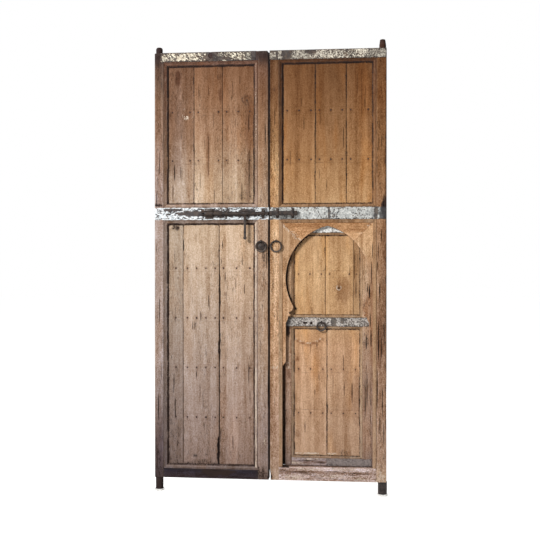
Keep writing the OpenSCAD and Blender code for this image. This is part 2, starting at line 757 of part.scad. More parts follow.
// Right leaf
module right_joinery_cuts() {
    leaf_mortises(right_stile_w, right_post_u, right_bottom_rail_h);
    battens(right_stile_w, right_post_u, upper_rows, joinery_play);
    slab(right_stile_w - arch_groove, right_post_u + arch_groove, arch_front, arch_back,
         right_bottom_rail_h, mid_rail_z);
}
module right_pivot_stile()
    color(gold_wood)
        on_right()
            difference() {
                union() {
                    slab(right_post_u, leaf_w, front_y, back_y, 0, leaf_h);
                    translate([pivot_u, 0, leaf_h]) right_top_pivot();
                    translate([pivot_u, 0, shoe_floor - foot_pivot_l])
                        cylinder(r = right_shoe_r - shoe_wall, h = foot_pivot_l - shoe_floor);
                }
                right_joinery_cuts();
            }
module right_meeting_stile()
    color(gold_wood)
        on_right()
            difference() {
                slab(0, right_stile_w, front_y, back_y, 0, leaf_h);
                rounded_corner(right_corner_r);
                right_joinery_cuts();
                eye_hole(right_ring_u, ring_z + ring_path_r(right_ring_d), front_y);
            }
module right_top_rail() color(gold_wood) on_right() rail(right_stile_w, right_post_u, top_rail_z, leaf_h);
module right_mid_rail()
    color(gold_wood)
        on_right()
            difference() {
                rail(right_stile_w, right_post_u, mid_rail_z, upper_z);
                slab(right_stile_w, right_post_u, arch_front, arch_back,
                     mid_rail_z - cut, mid_rail_z + arch_groove);
                translate([wicket_axis_u, wicket_mid_y, mid_rail_z - cut])
                    cylinder(r = wicket_pin_r + wicket_pin_play, h = wicket_pin_depth + 2 * cut);
            }
module right_bottom_rail()
    color(pale_wood)
        on_right()
            difference() {
                rail(right_stile_w, right_post_u, 0, right_bottom_rail_h);
                translate([wicket_axis_u, wicket_mid_y, right_bottom_rail_h - wicket_pin_depth])
                    cylinder(r = wicket_pin_r + wicket_pin_play, h = wicket_pin_depth + cut);
            }
module right_upper_board(i)
    color(gold_wood)
        on_right()
            difference() {
                panel_board(right_upper_edges, i, board_front, board_t, upper_z, top_rail_z);
                nail_holes(right_upper_row, upper_rows, board_front, board_t);
            }
module right_moulding()
    color(gold_wood)
        on_right()
            moulding_frame(right_stile_w, right_post_u, upper_z, top_rail_z, board_front,
                           right_moulding_w, moulding_d, cove_r);
module right_battens()
    color(gold_wood)
        on_right()
            difference() {
                battens(right_stile_w, right_post_u, upper_rows);
                nail_holes(right_upper_row, upper_rows, board_back, nail_l - board_t);
            }
module right_nails() color(iron) on_right() nails(right_upper_row, upper_rows, board_front, nail_l);
module right_top_tin() color(tin) on_right() top_tin(0, leaf_w, right_post_u);
module right_mid_tin() color(tin) on_right() mid_tin();
module right_ring_eye()
    color(iron) on_right() ring_eye(right_ring_u, ring_z + ring_path_r(right_ring_d), front_y);
module right_ring()
    color(iron) on_right() ring(right_ring_u, ring_z + ring_path_r(right_ring_d), front_y, right_ring_d);
module bolt_keeper()
    color(iron)
        on_right()
            difference() {
                box_bar(keeper_u, keeper_l, keeper_half);
                box_bar(keeper_u - cut, bolt_travel + 2 * cut, keeper_half - keeper_wall);
            }
module box_bar(u, length, half)
    slab(u, u + length, bolt_y - half, bolt_y + half, bolt_z - half, bolt_z + half);
module keeper_staples()
    color(iron)
        on_right()
            for (u = keeper_staples_u) box_strap(u, staple_l, keeper_half + joinery_play);
module box_strap(u, length, half)
    difference() {
        union() {
            slab(u, u + length, bolt_y - half - keeper_staple_t, tin_front,
                 bolt_z - half - keeper_staple_t, bolt_z + half + keeper_staple_t);
            slab(u, u + length, tin_front - guide_foot_t, tin_front, bolt_z - guide_foot, bolt_z + guide_foot);
        }
        slab(u - cut, u + length + cut, bolt_y - half, tin_front + cut, bolt_z - half, bolt_z + half);
    }

// Arch boards in front of the wicket: a head and two jambs, mitred at the corners
module arch_opening() {
    intersection() {
        translate([arch_offset, arch_centre_z]) circle(arch_r, $fn = 180);
        translate([-arch_offset, arch_centre_z]) circle(arch_r, $fn = 180);
        translate([-arch_r, cusp_z]) square([2 * arch_r, 2 * arch_r]);
    }
    for (side = [0, 1])
        mirror([side, 0])
            polygon(concat(
                [[0, cusp_z], [cusp_half_w, cusp_z]],
                [for (step = capital_steps) [cusp_half_w + step[0], cusp_z - step[1]]],
                [[column_half_w, cusp_z - capital_drop]],
                [for (t = [0 : 0.125 : 1]) plinth_curve(t)],
                [[plinth_half_w, right_bottom_rail_h - cut], [0, right_bottom_rail_h - cut]]));
}
function plinth_curve(t) =
    [column_half_w + (plinth_half_w - column_half_w) * (1 - cos(180 * t)) / 2, plinth_curve_z - plinth_curve_h * t];
module arch_outline() {
    half_w = arch_half_w + arch_groove;
    difference() {
        translate([-half_w, right_bottom_rail_h])
            square([2 * half_w, mid_rail_z - right_bottom_rail_h]);
        arch_opening();
    }
    translate([-arch_half_w, mid_rail_z]) square([2 * arch_half_w, arch_groove]);
}
module arch_head_area() {
    inner_half_w = arch_half_w - arch_mitre;
    translate([-arch_half_w, mid_rail_z]) square([2 * arch_half_w, 2 * arch_groove]);
    polygon([[-arch_half_w, mid_rail_z], [arch_half_w, mid_rail_z],
             [inner_half_w, mid_rail_z - arch_mitre], [-inner_half_w, mid_rail_z - arch_mitre]]);
}
module arch_board() on_right() facing(arch_u, arch_back, 0) linear_extrude(arch_t) children();
module arch_head()
    color(gold_wood)
        arch_board()
            intersection() {
                arch_outline();
                arch_head_area();
            }
module arch_jamb(side)
    color(pale_wood)
        arch_board()
            mirror([side, 0])
                intersection() {
                    difference() {
                        arch_outline();
                        arch_head_area();
                    }
                    square([leaf_w, leaf_h]);
                }
module arch_moulding()
    color(gold_wood)
        on_right() {
            w = right_post_u - right_stile_w;
            h = mid_rail_z - right_bottom_rail_h;
            facing(right_stile_w, arch_front, right_bottom_rail_h) {
                translate([w, h]) rotate(180) moulding_strip(w, arch_moulding_w, arch_moulding_d, arch_cove_r);
                translate([0, h])
                    rotate(-90) moulding_strip(h, arch_moulding_w, arch_moulding_d, arch_cove_r, 1, 0);
                translate([w, 0])
                    rotate(90) moulding_strip(h, arch_moulding_w, arch_moulding_d, arch_cove_r, 0, 1);
            }
        }

// Wicket behind the arch
module wicket_rail(z0, z1) {
    slab(wicket_panel_u, hinge_stile_u, wicket_front, wicket_back, z0, z1);
    wicket_tenons(z0, z1, 0, 0);
}
module wicket_tenons(z0, z1, play, end_gap)
    slab(wicket_panel_u - wicket_tenon_l - end_gap, hinge_stile_u + wicket_tenon_l + end_gap,
         wicket_mid_y - wicket_tenon_t / 2 - play, wicket_mid_y + wicket_tenon_t / 2 + play,
         z0 + wicket_tenon_shoulder - play, z1 - wicket_tenon_shoulder + play);
module wicket_batten_set(play = 0)
    for (z = concat(wicket_lower_rows, wicket_upper_rows))
        slab(wicket_panel_u - batten_house - play, hinge_stile_u + batten_house + play,
             wicket_board_back, wicket_board_back + wicket_batten_t,
             z - wicket_batten_h / 2 - play, z + wicket_batten_h / 2 + play);
module wicket_joinery_cuts() {
    wicket_tenons(wicket_z, wicket_lower_z, joinery_play, cut);
    wicket_tenons(wicket_mid_rail_z, wicket_upper_z, joinery_play, cut);
    wicket_tenons(wicket_top_rail_z, wicket_top, joinery_play, cut);
    wicket_batten_set(joinery_play);
}
module wicket_hinge_stile()
    color(pale_wood)
        on_right() {
            difference() {
                translate([0, 0, wicket_z])
                    linear_extrude(wicket_top - wicket_z) {
                        translate([hinge_stile_u, wicket_front]) square([hinge_stile_w, wicket_t]);
                        translate([wicket_axis_u, wicket_mid_y]) circle(wicket_t / 2);
                    }
                wicket_joinery_cuts();
            }
            wicket_pivots();
        }
module wicket_pivots() {
    foot = right_bottom_rail_h - wicket_pin_depth + wicket_pin_play;
    translate([wicket_axis_u, wicket_mid_y, foot]) cylinder(r = wicket_pin_r, h = wicket_z - foot);
    translate([wicket_axis_u, wicket_mid_y, wicket_top])
        cylinder(r = wicket_pin_r, h = mid_rail_z + wicket_pin_depth - wicket_top);
}
module wicket_lock_stile()
    color(pale_wood)
        on_right()
            difference() {
                union() {
                    slab(wicket_u, wicket_panel_u, wicket_front, wicket_back, wicket_z, wicket_top);
                    slab(right_stile_w + wicket_flange_gap, wicket_u,
                         wicket_back - wicket_flange_t, wicket_back, wicket_z, wicket_top);
                }
                wicket_joinery_cuts();
            }
module wicket_top_rail() color(pale_wood) on_right() wicket_rail(wicket_top_rail_z, wicket_top);
module wicket_mid_rail()
    color(pale_wood)
        on_right()
            difference() {
                wicket_rail(wicket_mid_rail_z, wicket_upper_z);
                eye_hole(wicket_ring_u, wicket_mid_rail_z + wicket_eye_rise, wicket_front);
            }
module wicket_bottom_rail() color(dark_wood) on_right() wicket_rail(wicket_z, wicket_lower_z);
module wicket_upper_boards()
    color(pale_wood)
        on_right()
            difference() {
                for (i = [0 : len(wicket_upper_edges) - 2])
                    panel_board(wicket_upper_edges, i, wicket_board_front, wicket_board_t,
                                wicket_upper_z, wicket_top_rail_z);
                nail_holes(wicket_upper_row, wicket_upper_rows, wicket_board_front, wicket_board_t);
            }
module wicket_lower_boards()
    color(pale_wood)
        on_right()
            difference() {
                for (i = [0 : len(wicket_lower_edges) - 2])
                    panel_board(wicket_lower_edges, i, wicket_board_front, wicket_board_t,
                                wicket_lower_z, wicket_mid_rail_z);
                nail_holes(wicket_lower_row, wicket_lower_rows, wicket_board_front, wicket_board_t);
            }
module wicket_mouldings()
    color(gold_wood)
        on_right() {
            moulding_frame(wicket_panel_u, hinge_stile_u, wicket_upper_z, wicket_top_rail_z, wicket_board_front,
                           wicket_moulding_w, wicket_moulding_d, wicket_cove_r);
            moulding_frame(wicket_panel_u, hinge_stile_u, wicket_lower_z, wicket_mid_rail_z, wicket_board_front,
                           wicket_moulding_w, wicket_moulding_d, wicket_cove_r);
        }
module wicket_battens()
    color(pale_wood)
        on_right()
            difference() {
                wicket_batten_set();
                nail_holes(wicket_upper_row, wicket_upper_rows, wicket_board_back, wicket_nail_l - wicket_board_t);
                nail_holes(wicket_lower_row, wicket_lower_rows, wicket_board_back, wicket_nail_l - wicket_board_t);
            }
module wicket_nails()
    color(iron)
        on_right() {
            nails(wicket_upper_row, wicket_upper_rows, wicket_board_front, wicket_nail_l);
            nails(wicket_lower_row, wicket_lower_rows, wicket_board_front, wicket_nail_l);
        }
module wicket_tins()
    color(tin)
        on_right() {
            slab(wicket_u, wicket_axis_u, wicket_tin_front, wicket_front, wicket_top_rail_z, wicket_top);
            difference() {
                slab(wicket_u, wicket_axis_u, wicket_tin_front, wicket_front, wicket_mid_rail_z, wicket_upper_z);
                eye_hole(wicket_ring_u, wicket_mid_rail_z + wicket_eye_rise, wicket_tin_front);
            }
            slab(wicket_u + wicket_tin_start, wicket_axis_u, wicket_tin_front, wicket_front,
                 wicket_z, wicket_lower_z);
        }
module wicket_ring_eye()
    color(iron)
        on_right()
            ring_eye(wicket_ring_u, wicket_mid_rail_z + wicket_eye_rise, wicket_tin_front, wicket_tin_t);
module wicket_ring()
    color(iron)
        on_right()
            ring(wicket_ring_u, wicket_mid_rail_z + wicket_eye_rise, wicket_tin_front, wicket_ring_d);

left_floor_socket();
right_floor_socket();
left_pivot_stile();
left_meeting_stile();
left_top_rail();
left_mid_rail();
left_bottom_rail();
left_upper_board(0);  // left_upper_board_1
left_upper_board(1);  // left_upper_board_2
left_upper_board(2);  // left_upper_board_3
left_lower_board(0);  // left_lower_board_1
left_lower_board(1);  // left_lower_board_2
left_lower_board(2);  // left_lower_board_3
left_mouldings();
left_battens();
left_nails();
left_top_tin();
left_mid_tin();
left_ring_plate();
left_ring_eye();
left_ring();
bolt_guides();
bolt_bar();
bolt_collars();
bolt_handle();
right_pivot_stile();
right_pivot_shoe();
right_meeting_stile();
right_top_rail();
right_mid_rail();
right_bottom_rail();
right_upper_board(0);  // right_upper_board_1
right_upper_board(1);  // right_upper_board_2
right_upper_board(2);  // right_upper_board_3
right_moulding();
right_battens();
right_nails();
right_top_tin();
right_mid_tin();
right_ring_eye();
right_ring();
bolt_keeper();
keeper_staples();
arch_head();
arch_jamb(1);  // arch_left_jamb
arch_jamb(0);  // arch_right_jamb
arch_moulding();
wicket_hinge_stile();
wicket_lock_stile();
wicket_top_rail();
wicket_mid_rail();
wicket_bottom_rail();
wicket_upper_boards();
wicket_lower_boards();
wicket_mouldings();
wicket_battens();
wicket_nails();
wicket_tins();
wicket_ring_eye();
wicket_ring();
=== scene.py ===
"""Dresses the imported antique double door: worn timber, flaked tin sheets, forged iron and a plain studio."""

from __future__ import annotations

import logging
import math
import random
from abc import ABC, abstractmethod
from collections.abc import Iterable
from dataclasses import dataclass
from enum import Enum
from functools import partial
from typing import ClassVar, Protocol

import bmesh
import bpy
from mathutils import Matrix, Vector, noise

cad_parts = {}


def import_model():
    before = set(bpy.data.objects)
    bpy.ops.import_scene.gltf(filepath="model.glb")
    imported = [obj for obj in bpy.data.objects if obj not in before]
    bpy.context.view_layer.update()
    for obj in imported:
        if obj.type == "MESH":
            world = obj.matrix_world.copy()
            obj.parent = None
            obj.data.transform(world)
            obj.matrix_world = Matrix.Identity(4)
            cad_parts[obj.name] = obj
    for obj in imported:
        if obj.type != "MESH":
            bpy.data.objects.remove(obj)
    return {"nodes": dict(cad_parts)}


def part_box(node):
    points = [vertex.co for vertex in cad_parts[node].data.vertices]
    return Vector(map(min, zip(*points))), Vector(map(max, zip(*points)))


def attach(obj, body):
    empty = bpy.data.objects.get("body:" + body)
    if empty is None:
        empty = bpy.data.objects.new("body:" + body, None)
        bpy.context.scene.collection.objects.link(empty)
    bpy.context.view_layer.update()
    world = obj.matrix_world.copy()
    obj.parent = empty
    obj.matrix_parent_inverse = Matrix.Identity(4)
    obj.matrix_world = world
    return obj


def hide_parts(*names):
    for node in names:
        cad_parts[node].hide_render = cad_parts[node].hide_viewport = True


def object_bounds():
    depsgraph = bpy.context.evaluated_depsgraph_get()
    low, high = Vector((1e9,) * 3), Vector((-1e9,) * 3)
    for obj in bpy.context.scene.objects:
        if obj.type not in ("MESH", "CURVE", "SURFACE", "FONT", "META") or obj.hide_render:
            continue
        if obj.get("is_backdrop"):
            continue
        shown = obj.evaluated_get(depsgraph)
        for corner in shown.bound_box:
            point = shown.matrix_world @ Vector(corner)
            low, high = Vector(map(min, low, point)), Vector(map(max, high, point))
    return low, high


LOG = logging.getLogger("double_door")
Colour = tuple[float, float, float]
Tones = tuple[tuple[float, Colour], ...]
Span = tuple[float, float]
Socket = bpy.types.NodeSocket
VECTOR = "NodeSocketVector"
NUMBER = "NodeSocketFloat"
PAINT = "NodeSocketColor"
DOOR_TOP = 2.62
MIDDLE_RAIL = 1.57
LEFT_POST_WIDTH = 0.052
RIGHT_POST_WIDTH = 0.058
FOLD_RISE = 0.0012
SHARP_ANGLE = math.radians(38.0)
BEVEL_ANGLE = math.radians(40.0)
FLAT_ANGLE = math.radians(1.0)
FACING = Matrix.Rotation(math.pi / 2, 4, "X")


class Grain(Enum):
    """The way the fibres of a piece of timber run."""

    UPRIGHT = 2
    LEVEL = 0


class Mark(Enum):
    """The layers of marks that the finishes read from a mesh."""

    # Besides cracks, wear, dirt and scuffs, these layers carry painted light. The crack and grime layers also
    # paint shade and shadow lines. The wear and scuff layers also paint highlights. The shade layer paints
    # shade on the moulding strips as well as the boards' own darker tones.
    CRACK = "crack"
    WEAR = "wear"
    GRIME = "grime"
    STAIN = "stain"
    SCUFF = "scuff"
    BARE = "bare"
    SHADE = "shade"
    SEED = "seed"


def ease(low: float, high: float, value: float) -> float:
    """Eases a value from one limit to another.

    Args:
        low: Where the result leaves 0.
        high: Where the result reaches 1.
        value: The value to place between them.

    Returns:
        A number from 0 to 1.
    """
    share = min(1.0, max(0.0, (value - low) / (high - low)))
    return share * share * (3.0 - 2.0 * share)


@dataclass(frozen=True)
class Box:
    """An upright box in the door's frame, in metres."""

    low: Vector
    high: Vector

    @property
    def size(self) -> Vector:
        """The box's three lengths."""
        return self.high - self.low

    @property
    def middle(self) -> Vector:
        """The box's centre."""
        return (self.low + self.high) / 2.0

    @property
    def placing(self) -> Matrix:
        """The matrix that makes a unit cube fill the box."""
        return Matrix.Translation(self.middle) @ Matrix.Diagonal((*self.size, 1.0))

    @classmethod
    def of_node(cls, node: str) -> Box:
        """The box of one solid of the frame."""
        return cls(*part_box(node))

    def holds(self, x: float, z: float) -> bool:
        """Tells whether a point of the front lies within the box."""
        return self.low.x <= x <= self.high.x and self.low.z <= z <= self.high.z

    def reach(self, **ends: Span) -> Box:
        """Copies the box with other ends.

        Args:
            **ends: The low and high end on each axis that changes.

        Returns:
            The new box.
        """
        low, high = self.low.copy(), self.high.copy()
        for axis, (start, end) in ends.items():
            setattr(low, axis, start)
            setattr(high, axis, end)
        return Box(low, high)


class Frame:
    """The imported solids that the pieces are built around."""

    def __init__(self) -> None:
        """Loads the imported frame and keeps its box."""
        self.nodes: dict[str, bpy.types.Object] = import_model()["nodes"]
        low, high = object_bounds()
        self.bounds = (list(low), list(high))

    def solids(self, node: str) -> list[Box]:
        """Finds the separate solids of a node.

        Args:
            node: The node's name.

        Returns:
            One box for each solid, from the lowest and leftmost.
        """
        mesh = bmesh.new()
        mesh.from_mesh(self.nodes[node].data)
        bmesh.ops.remove_doubles(mesh, verts=mesh.verts, dist=1e-6)
        left = set(mesh.verts)
        boxes = []
        while left:
            group = [left.pop()]
            for vert in group:
                for edge in vert.link_edges:
                    other = edge.other_vert(vert)
                    if other in left:
                        left.remove(other)
                        group.append(other)
            low = Vector(min(v.co[i] for v in group) for i in range(3))
            high = Vector(max(v.co[i] for v in group) for i in range(3))
            boxes.append(Box(low, high))
        mesh.free()
        return sorted(boxes, key=lambda b: (round(b.low.z, 3), round(b.low.x, 3)))

    def write_sizes(self) -> None:
        """Brings the view layer up to date."""
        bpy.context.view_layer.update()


class Graph:
    """Adds nodes to one node tree and links them."""

    def __init__(self, tree: bpy.types.NodeTree) -> None:
        """Takes the tree that the nodes go into."""
        self.tree = tree

    def add(self, kind: str, values: dict | None = None, **settings: object) -> bpy.types.Node:
        """Adds a node.

        Args:
            kind: The node's type.
            values: Sockets or plain values for its inputs, by name or place.
            **settings: Properties of the node itself.

        Returns:
            The new node.
        """
        node = self.tree.nodes.new(kind)
        for name, value in settings.items():
            setattr(node, name, value)
        for key, value in (values or {}).items():
            self.feed(node.inputs[key], value)
        return node

    def feed(self, socket: Socket, value: object) -> None:
        """Links a socket to an input, or sets the input's own value."""
        if isinstance(value, Socket):
            self.tree.links.new(value, socket)
        else:
            socket.default_value = (*value, 1.0) if socket.type == "RGBA" else value

    def math(self, kind: str, first: object, second: object = 0.0, third: object = 0.0) -> Socket:
        """Joins two or three numbers by one operation."""
        return self.add("ShaderNodeMath", {0: first, 1: second, 2: third}, operation=kind).outputs[0]

    def stretch(self, vector: object, scale: object) -> Socket:
        """Scales a vector by three factors."""
        return self.add("ShaderNodeVectorMath", {0: vector, 1: scale}, operation="MULTIPLY").outputs[0]

    def turn(self, vector: object, angle: float) -> Socket:
        """Turns a vector in the plane of the door."""
        return self.add("ShaderNodeMapping", {"Vector": vector, "Rotation": (0.0, angle, 0.0)}).outputs[0]

    def dim(self, colour: object, factor: object) -> Socket:
        """Scales a colour by one number."""
        return self.add("ShaderNodeVectorMath", {0: colour, "Scale": factor}, operation="SCALE").outputs[0]

    def mix(self, share: object, first: object, second: object, kind: str = "MIX") -> Socket:
        """Mixes two colours by a share."""
        values = {0: share, 6: first, 7: second}
        return self.add("ShaderNodeMix", values, data_type="RGBA", blend_type=kind).outputs[2]

    def fade(self, value: object, low: float, high: float) -> Socket:
        """Eases a value from 0 at one limit to 1 at the other."""
        values = {"Value": value, "From Min": low, "From Max": high}
        return self.add("ShaderNodeMapRange", values, interpolation_type="SMOOTHSTEP").outputs[0]

    def between(self, value: object, low: float, high: float) -> Socket:
        """Spreads a value from 0 to 1 over two limits."""
        return self.add("ShaderNodeMapRange", {"Value": value, "To Min": low, "To Max": high}).outputs[0]

    def noise(
        self, vector: object, scale: object, seed: object, detail: float = 2.0, rough: float = 0.5,
    ) -> Socket:
        """Adds a stretched noise pattern that a seed shifts.

        Args:
            vector: The place in the pattern.
            scale: Three factors that stretch it.
            seed: The number that shifts it.
            detail: How many finer layers it has.
            rough: How strong the finer layers are.

        Returns:
            The pattern's socket.
        """
        values = {"Vector": self.stretch(vector, scale), "W": seed, "Scale": 1.0}
        values |= {"Detail": detail, "Roughness": rough}
        return self.add("ShaderNodeTexNoise", values, noise_dimensions="4D").outputs[0]

    def mark(self, kind: Mark) -> Socket:
        """Reads one layer of marks from the mesh."""
        return self.add("ShaderNodeAttribute", attribute_name=kind.value).outputs["Fac"]

    def ramp(self, height: object, tones: Tones) -> Socket:
        """Adds a run of colours up the door.

        Args:
            height: The height that picks the colour.
            tones: Heights with their colours.

        Returns:
            The colour's socket.
        """
        node = self.add("ShaderNodeValToRGB", {"Fac": self.math("DIVIDE", height, DOOR_TOP)})
        stops = node.color_ramp.elements
        while len(stops) < len(tones):
            stops.new(1.0)
        for stop, (place, colour) in zip(stops, tones):
            stop.position = place / DOOR_TOP
            stop.color = (*colour, 1.0)
        return node.outputs[0]


class Group:
    """A shader node group under construction."""

    def __init__(self, name: str, inputs: dict[str, str], outputs: dict[str, str]) -> None:
        """Makes the group with its sockets.

        Args:
            name: The group's name.
            inputs: Socket types by input name.
            outputs: Socket types by output name.
        """
        self.tree = bpy.data.node_groups.new(name, "ShaderNodeTree")
        for label, kind in inputs.items():
            self.tree.interface.new_socket(label, in_out="INPUT", socket_type=kind)
        for label, kind in outputs.items():
            self.tree.interface.new_socket(label, in_out="OUTPUT", socket_type=kind)
        self.graph = Graph(self.tree)
        self.inputs = self.graph.add("NodeGroupInput").outputs
        self.outputs = self.graph.add("NodeGroupOutput").inputs

    def put(self, name: str, socket: Socket) -> None:
        """Sends a socket to one of the group's outputs."""
        self.tree.links.new(socket, self.outputs[name])


def weathered_wood_group() -> bpy.types.NodeTree:
    """Builds the pattern of old wood: bands, streaks, fibres, flecks and the marks of the mesh.

    Returns:
        The node group, whose grain runs along the vector's third axis.
    """
    inputs = {"Vector": VECTOR, "Tone": PAINT, "Silver": PAINT, "Silver Share": NUMBER, "Warm": PAINT}
    inputs |= {"Warm Share": NUMBER, "Contrast": NUMBER, "Flecks": NUMBER}
    group = Group("weathered_wood", inputs, {"Color": PAINT, "Roughness": NUMBER, "Height": NUMBER})
    graph, given = group.graph, group.inputs
    seed = graph.mark(Mark.SEED)
    bend = graph.noise(given["Vector"], (3.0, 3.0, 1.1), seed)
    shift = graph.math("MULTIPLY", graph.math("SUBTRACT", bend, 0.5), 0.05)
    offset = graph.add("ShaderNodeCombineXYZ", {"X": shift, "Y": shift}).outputs[0]
    place = graph.add("ShaderNodeVectorMath", {0: given["Vector"], 1: offset}).outputs[0]
    band = graph.noise(place, (13.0, 13.0, 0.6), seed)
    streak = graph.noise(place, (85.0, 85.0, 4.5), seed, 3.0, 0.62)
    fibre = graph.noise(place, (430.0, 430.0, 28.0), seed, 2.0, 0.6)
    blotch = graph.noise(place, (34.0, 34.0, 13.0), graph.math("ADD", seed, 17.0), 3.0, 0.6)
    pores = graph.math("SUBTRACT", graph.noise(place, (230.0, 230.0, 150.0), seed, 2.0, 0.7), 0.5)
    strip = graph.fade(graph.noise(place, (17.0, 17.0, 0.12), graph.math("ADD", seed, 23.0), 1.0), 0.42, 0.56)
    figure = graph.math("MULTIPLY_ADD", band, 0.7, -1.475)
    for part, weight in ((streak, 0.8), (fibre, 0.4), (blotch, 0.8), (pores, 1.9), (strip, 0.25)):
        figure = graph.math("MULTIPLY_ADD", part, weight, figure)
    figure = graph.math("MAXIMUM", graph.math("MULTIPLY_ADD", figure, given["Contrast"], 1.0), 0.1)
    silver = graph.fade(graph.noise(place, (6.0, 6.0, 0.9), seed, 4.0, 0.65), 0.46, 0.66)
    warm = graph.fade(graph.noise(place, (9.0, 9.0, 1.6), graph.math("ADD", seed, 31.0), 3.0), 0.5, 0.68)
    silver = graph.math("MULTIPLY", silver, given["Silver Share"])
    tone = graph.mix(silver, given["Tone"], given["Silver"], "MULTIPLY")
    tone = graph.mix(graph.math("MULTIPLY", warm, given["Warm Share"]), tone, given["Warm"], "MULTIPLY")
    shade = graph.math("SUBTRACT", 1.0, graph.mark(Mark.SHADE))
    warmth = {"X": figure, "Y": graph.math("POWER", figure, 1.3), "Z": graph.math("POWER", figure, 1.65)}
    tone = graph.stretch(graph.dim(tone, shade), graph.add("ShaderNodeCombineXYZ", warmth).outputs[0])
    small = graph.noise(place, (300.0, 300.0, 40.0), graph.math("ADD", seed, 7.0), 1.0)
    large = graph.noise(place, (115.0, 115.0, 26.0), graph.math("ADD", seed, 11.0), 3.0, 0.6)
    spread = graph.noise(place, (12.0, 12.0, 2.6), graph.math("ADD", seed, 3.0))
    dash = graph.math("MAXIMUM", graph.fade(small, 0.6, 0.68), graph.fade(large, 0.62, 0.68))
    dash = graph.math("MULTIPLY", dash, graph.fade(spread, 0.4, 0.6))
    dash = graph.math("MULTIPLY", dash, given["Flecks"])
    tone = graph.mix(dash, tone, graph.dim(tone, 0.22))
    # Worn edges turn pale; the same layer paints highlights on the lit rims and beads.
    tone = graph.mix(graph.mark(Mark.WEAR), tone, graph.mix(0.3, graph.dim(tone, 1.15), (0.62, 0.5, 0.38)))
    tone = graph.mix(graph.mark(Mark.STAIN), tone, graph.mix(1.0, tone, (0.34, 0.22, 0.17), "MULTIPLY"))
    ragged = graph.math("ADD", graph.math("SUBTRACT", large, 0.5), graph.math("MULTIPLY", pores, 2.0))
    # The grime colour is laid for dirt and for painted shade and shadow lines; the scuff colour for scuffs and
    # painted highlights.
    grime = (Mark.GRIME, (0.3, 0.75), (0.03, 0.3), (0.034, 0.021, 0.0175))
    scuff = (Mark.SCUFF, (0.35, 0.7), (0.05, 0.3), (0.7, 0.58, 0.46))
    for kind, edge, start, colour in (grime, scuff):
        layer = graph.mark(kind)
        broken = graph.fade(graph.math("ADD", layer, ragged), *edge)
        tone = graph.mix(graph.math("MULTIPLY", broken, graph.fade(layer, *start)), tone, colour)
    # The crack colour darkens splits and paints the shade of the gap between the leaves.
    crack = graph.mark(Mark.CRACK)
    group.put("Color", graph.mix(crack, tone, (0.012, 0.009, 0.01)))
    group.put("Roughness", graph.between(streak, 0.9, 0.66))
    height = graph.math("SUBTRACT", graph.math("MULTIPLY_ADD", fibre, 0.5, streak), dash)
    group.put("Height", graph.math("SUBTRACT", height, crack))
    return group.tree


def flaked_tin_group() -> bpy.types.NodeTree:
    """Builds the pattern of painted tin: flakes, speckle, bare metal and rust.

    Returns:
        The node group.
    """
    inputs = {"Vector": VECTOR, "Paint": PAINT, "Shade": PAINT, "Bare": PAINT, "Rust": PAINT}
    inputs |= {"Loss": NUMBER, "Flake Size": VECTOR, "Speckle": NUMBER}
    outputs = {"Color": PAINT, "Roughness": NUMBER, "Metallic": NUMBER, "Height": NUMBER}
    group = Group("flaked_tin", inputs, outputs)
    graph, given = group.graph, group.inputs
    place, seed = given["Vector"], graph.mark(Mark.SEED)
    flake = graph.noise(place, given["Flake Size"], seed, 6.0, 0.68)
    patchy = graph.noise(place, (19.0, 19.0, 11.0), graph.math("ADD", seed, 5.0), 1.0)
    flake = graph.math("MULTIPLY_ADD", patchy, 0.3, flake)
    flake = graph.math("SUBTRACT", flake, graph.math("ADD", given["Loss"], 0.15))
    paint = graph.fade(graph.math("SUBTRACT", flake, graph.mark(Mark.BARE)), -0.02, 0.025)
    mottle = graph.fade(graph.noise(place, (75.0, 75.0, 75.0), seed, 4.0, 0.7), 0.4, 0.6)
    coat = graph.mix(mottle, given["Paint"], given["Shade"])
    dots = graph.fade(graph.noise(place, (330.0, 330.0, 330.0), seed, 2.0, 0.6), 0.55, 0.68)
    coat = graph.mix(graph.math("MULTIPLY", dots, given["Speckle"]), coat, given["Bare"])
    rust = graph.fade(graph.noise(place, (38.0, 38.0, 38.0), seed, 5.0, 0.7), 0.42, 0.6)
    colour = graph.mix(paint, graph.mix(rust, given["Bare"], given["Rust"]), coat)
    group.put("Color", graph.mix(graph.mark(Mark.GRIME), colour, (0.02, 0.016, 0.016)))
    group.put("Roughness", graph.between(mottle, 0.5, 0.78))
    group.put("Metallic", graph.math("MULTIPLY", graph.math("SUBTRACT", 1.0, paint), 0.25))
    group.put("Height", graph.math("MULTIPLY_ADD", mottle, 0.3, paint))
    return group.tree


def rusted_iron_group() -> bpy.types.NodeTree:
    """Builds the pattern of forged iron: hammer marks, brown rust and rubbed places.

    Returns:
        The node group.
    """
    inputs = {"Vector": VECTOR, "Dark": PAINT, "Rust": PAINT, "Rubbed": PAINT, "Rust Share": NUMBER}
    outputs = {"Color": PAINT, "Roughness": NUMBER, "Metallic": NUMBER, "Height": NUMBER}
    group = Group("rusted_iron", inputs, outputs)
    graph, given = group.graph, group.inputs
    broad = graph.noise(given["Vector"], (60.0, 60.0, 60.0), 2.0, 5.0, 0.65)
    fine = graph.noise(given["Vector"], (520.0, 520.0, 520.0), 5.0, 3.0, 0.6)
    rust = graph.math("MULTIPLY", graph.fade(broad, 0.42, 0.62), given["Rust Share"])
    colour = graph.dim(graph.mix(rust, given["Dark"], given["Rust"]), graph.between(fine, 0.55, 1.45))
    rubbed = graph.math("MULTIPLY", graph.mark(Mark.WEAR), graph.fade(fine, 0.4, 0.6))
    group.put("Color", graph.mix(rubbed, colour, given["Rubbed"]))
    group.put("Roughness", graph.between(rust, 0.42, 0.85))
    group.put("Metallic", graph.between(rust, 0.7, 0.1))
    group.put("Height", graph.math("MULTIPLY_ADD", fine, 0.4, broad))
    return group.tree


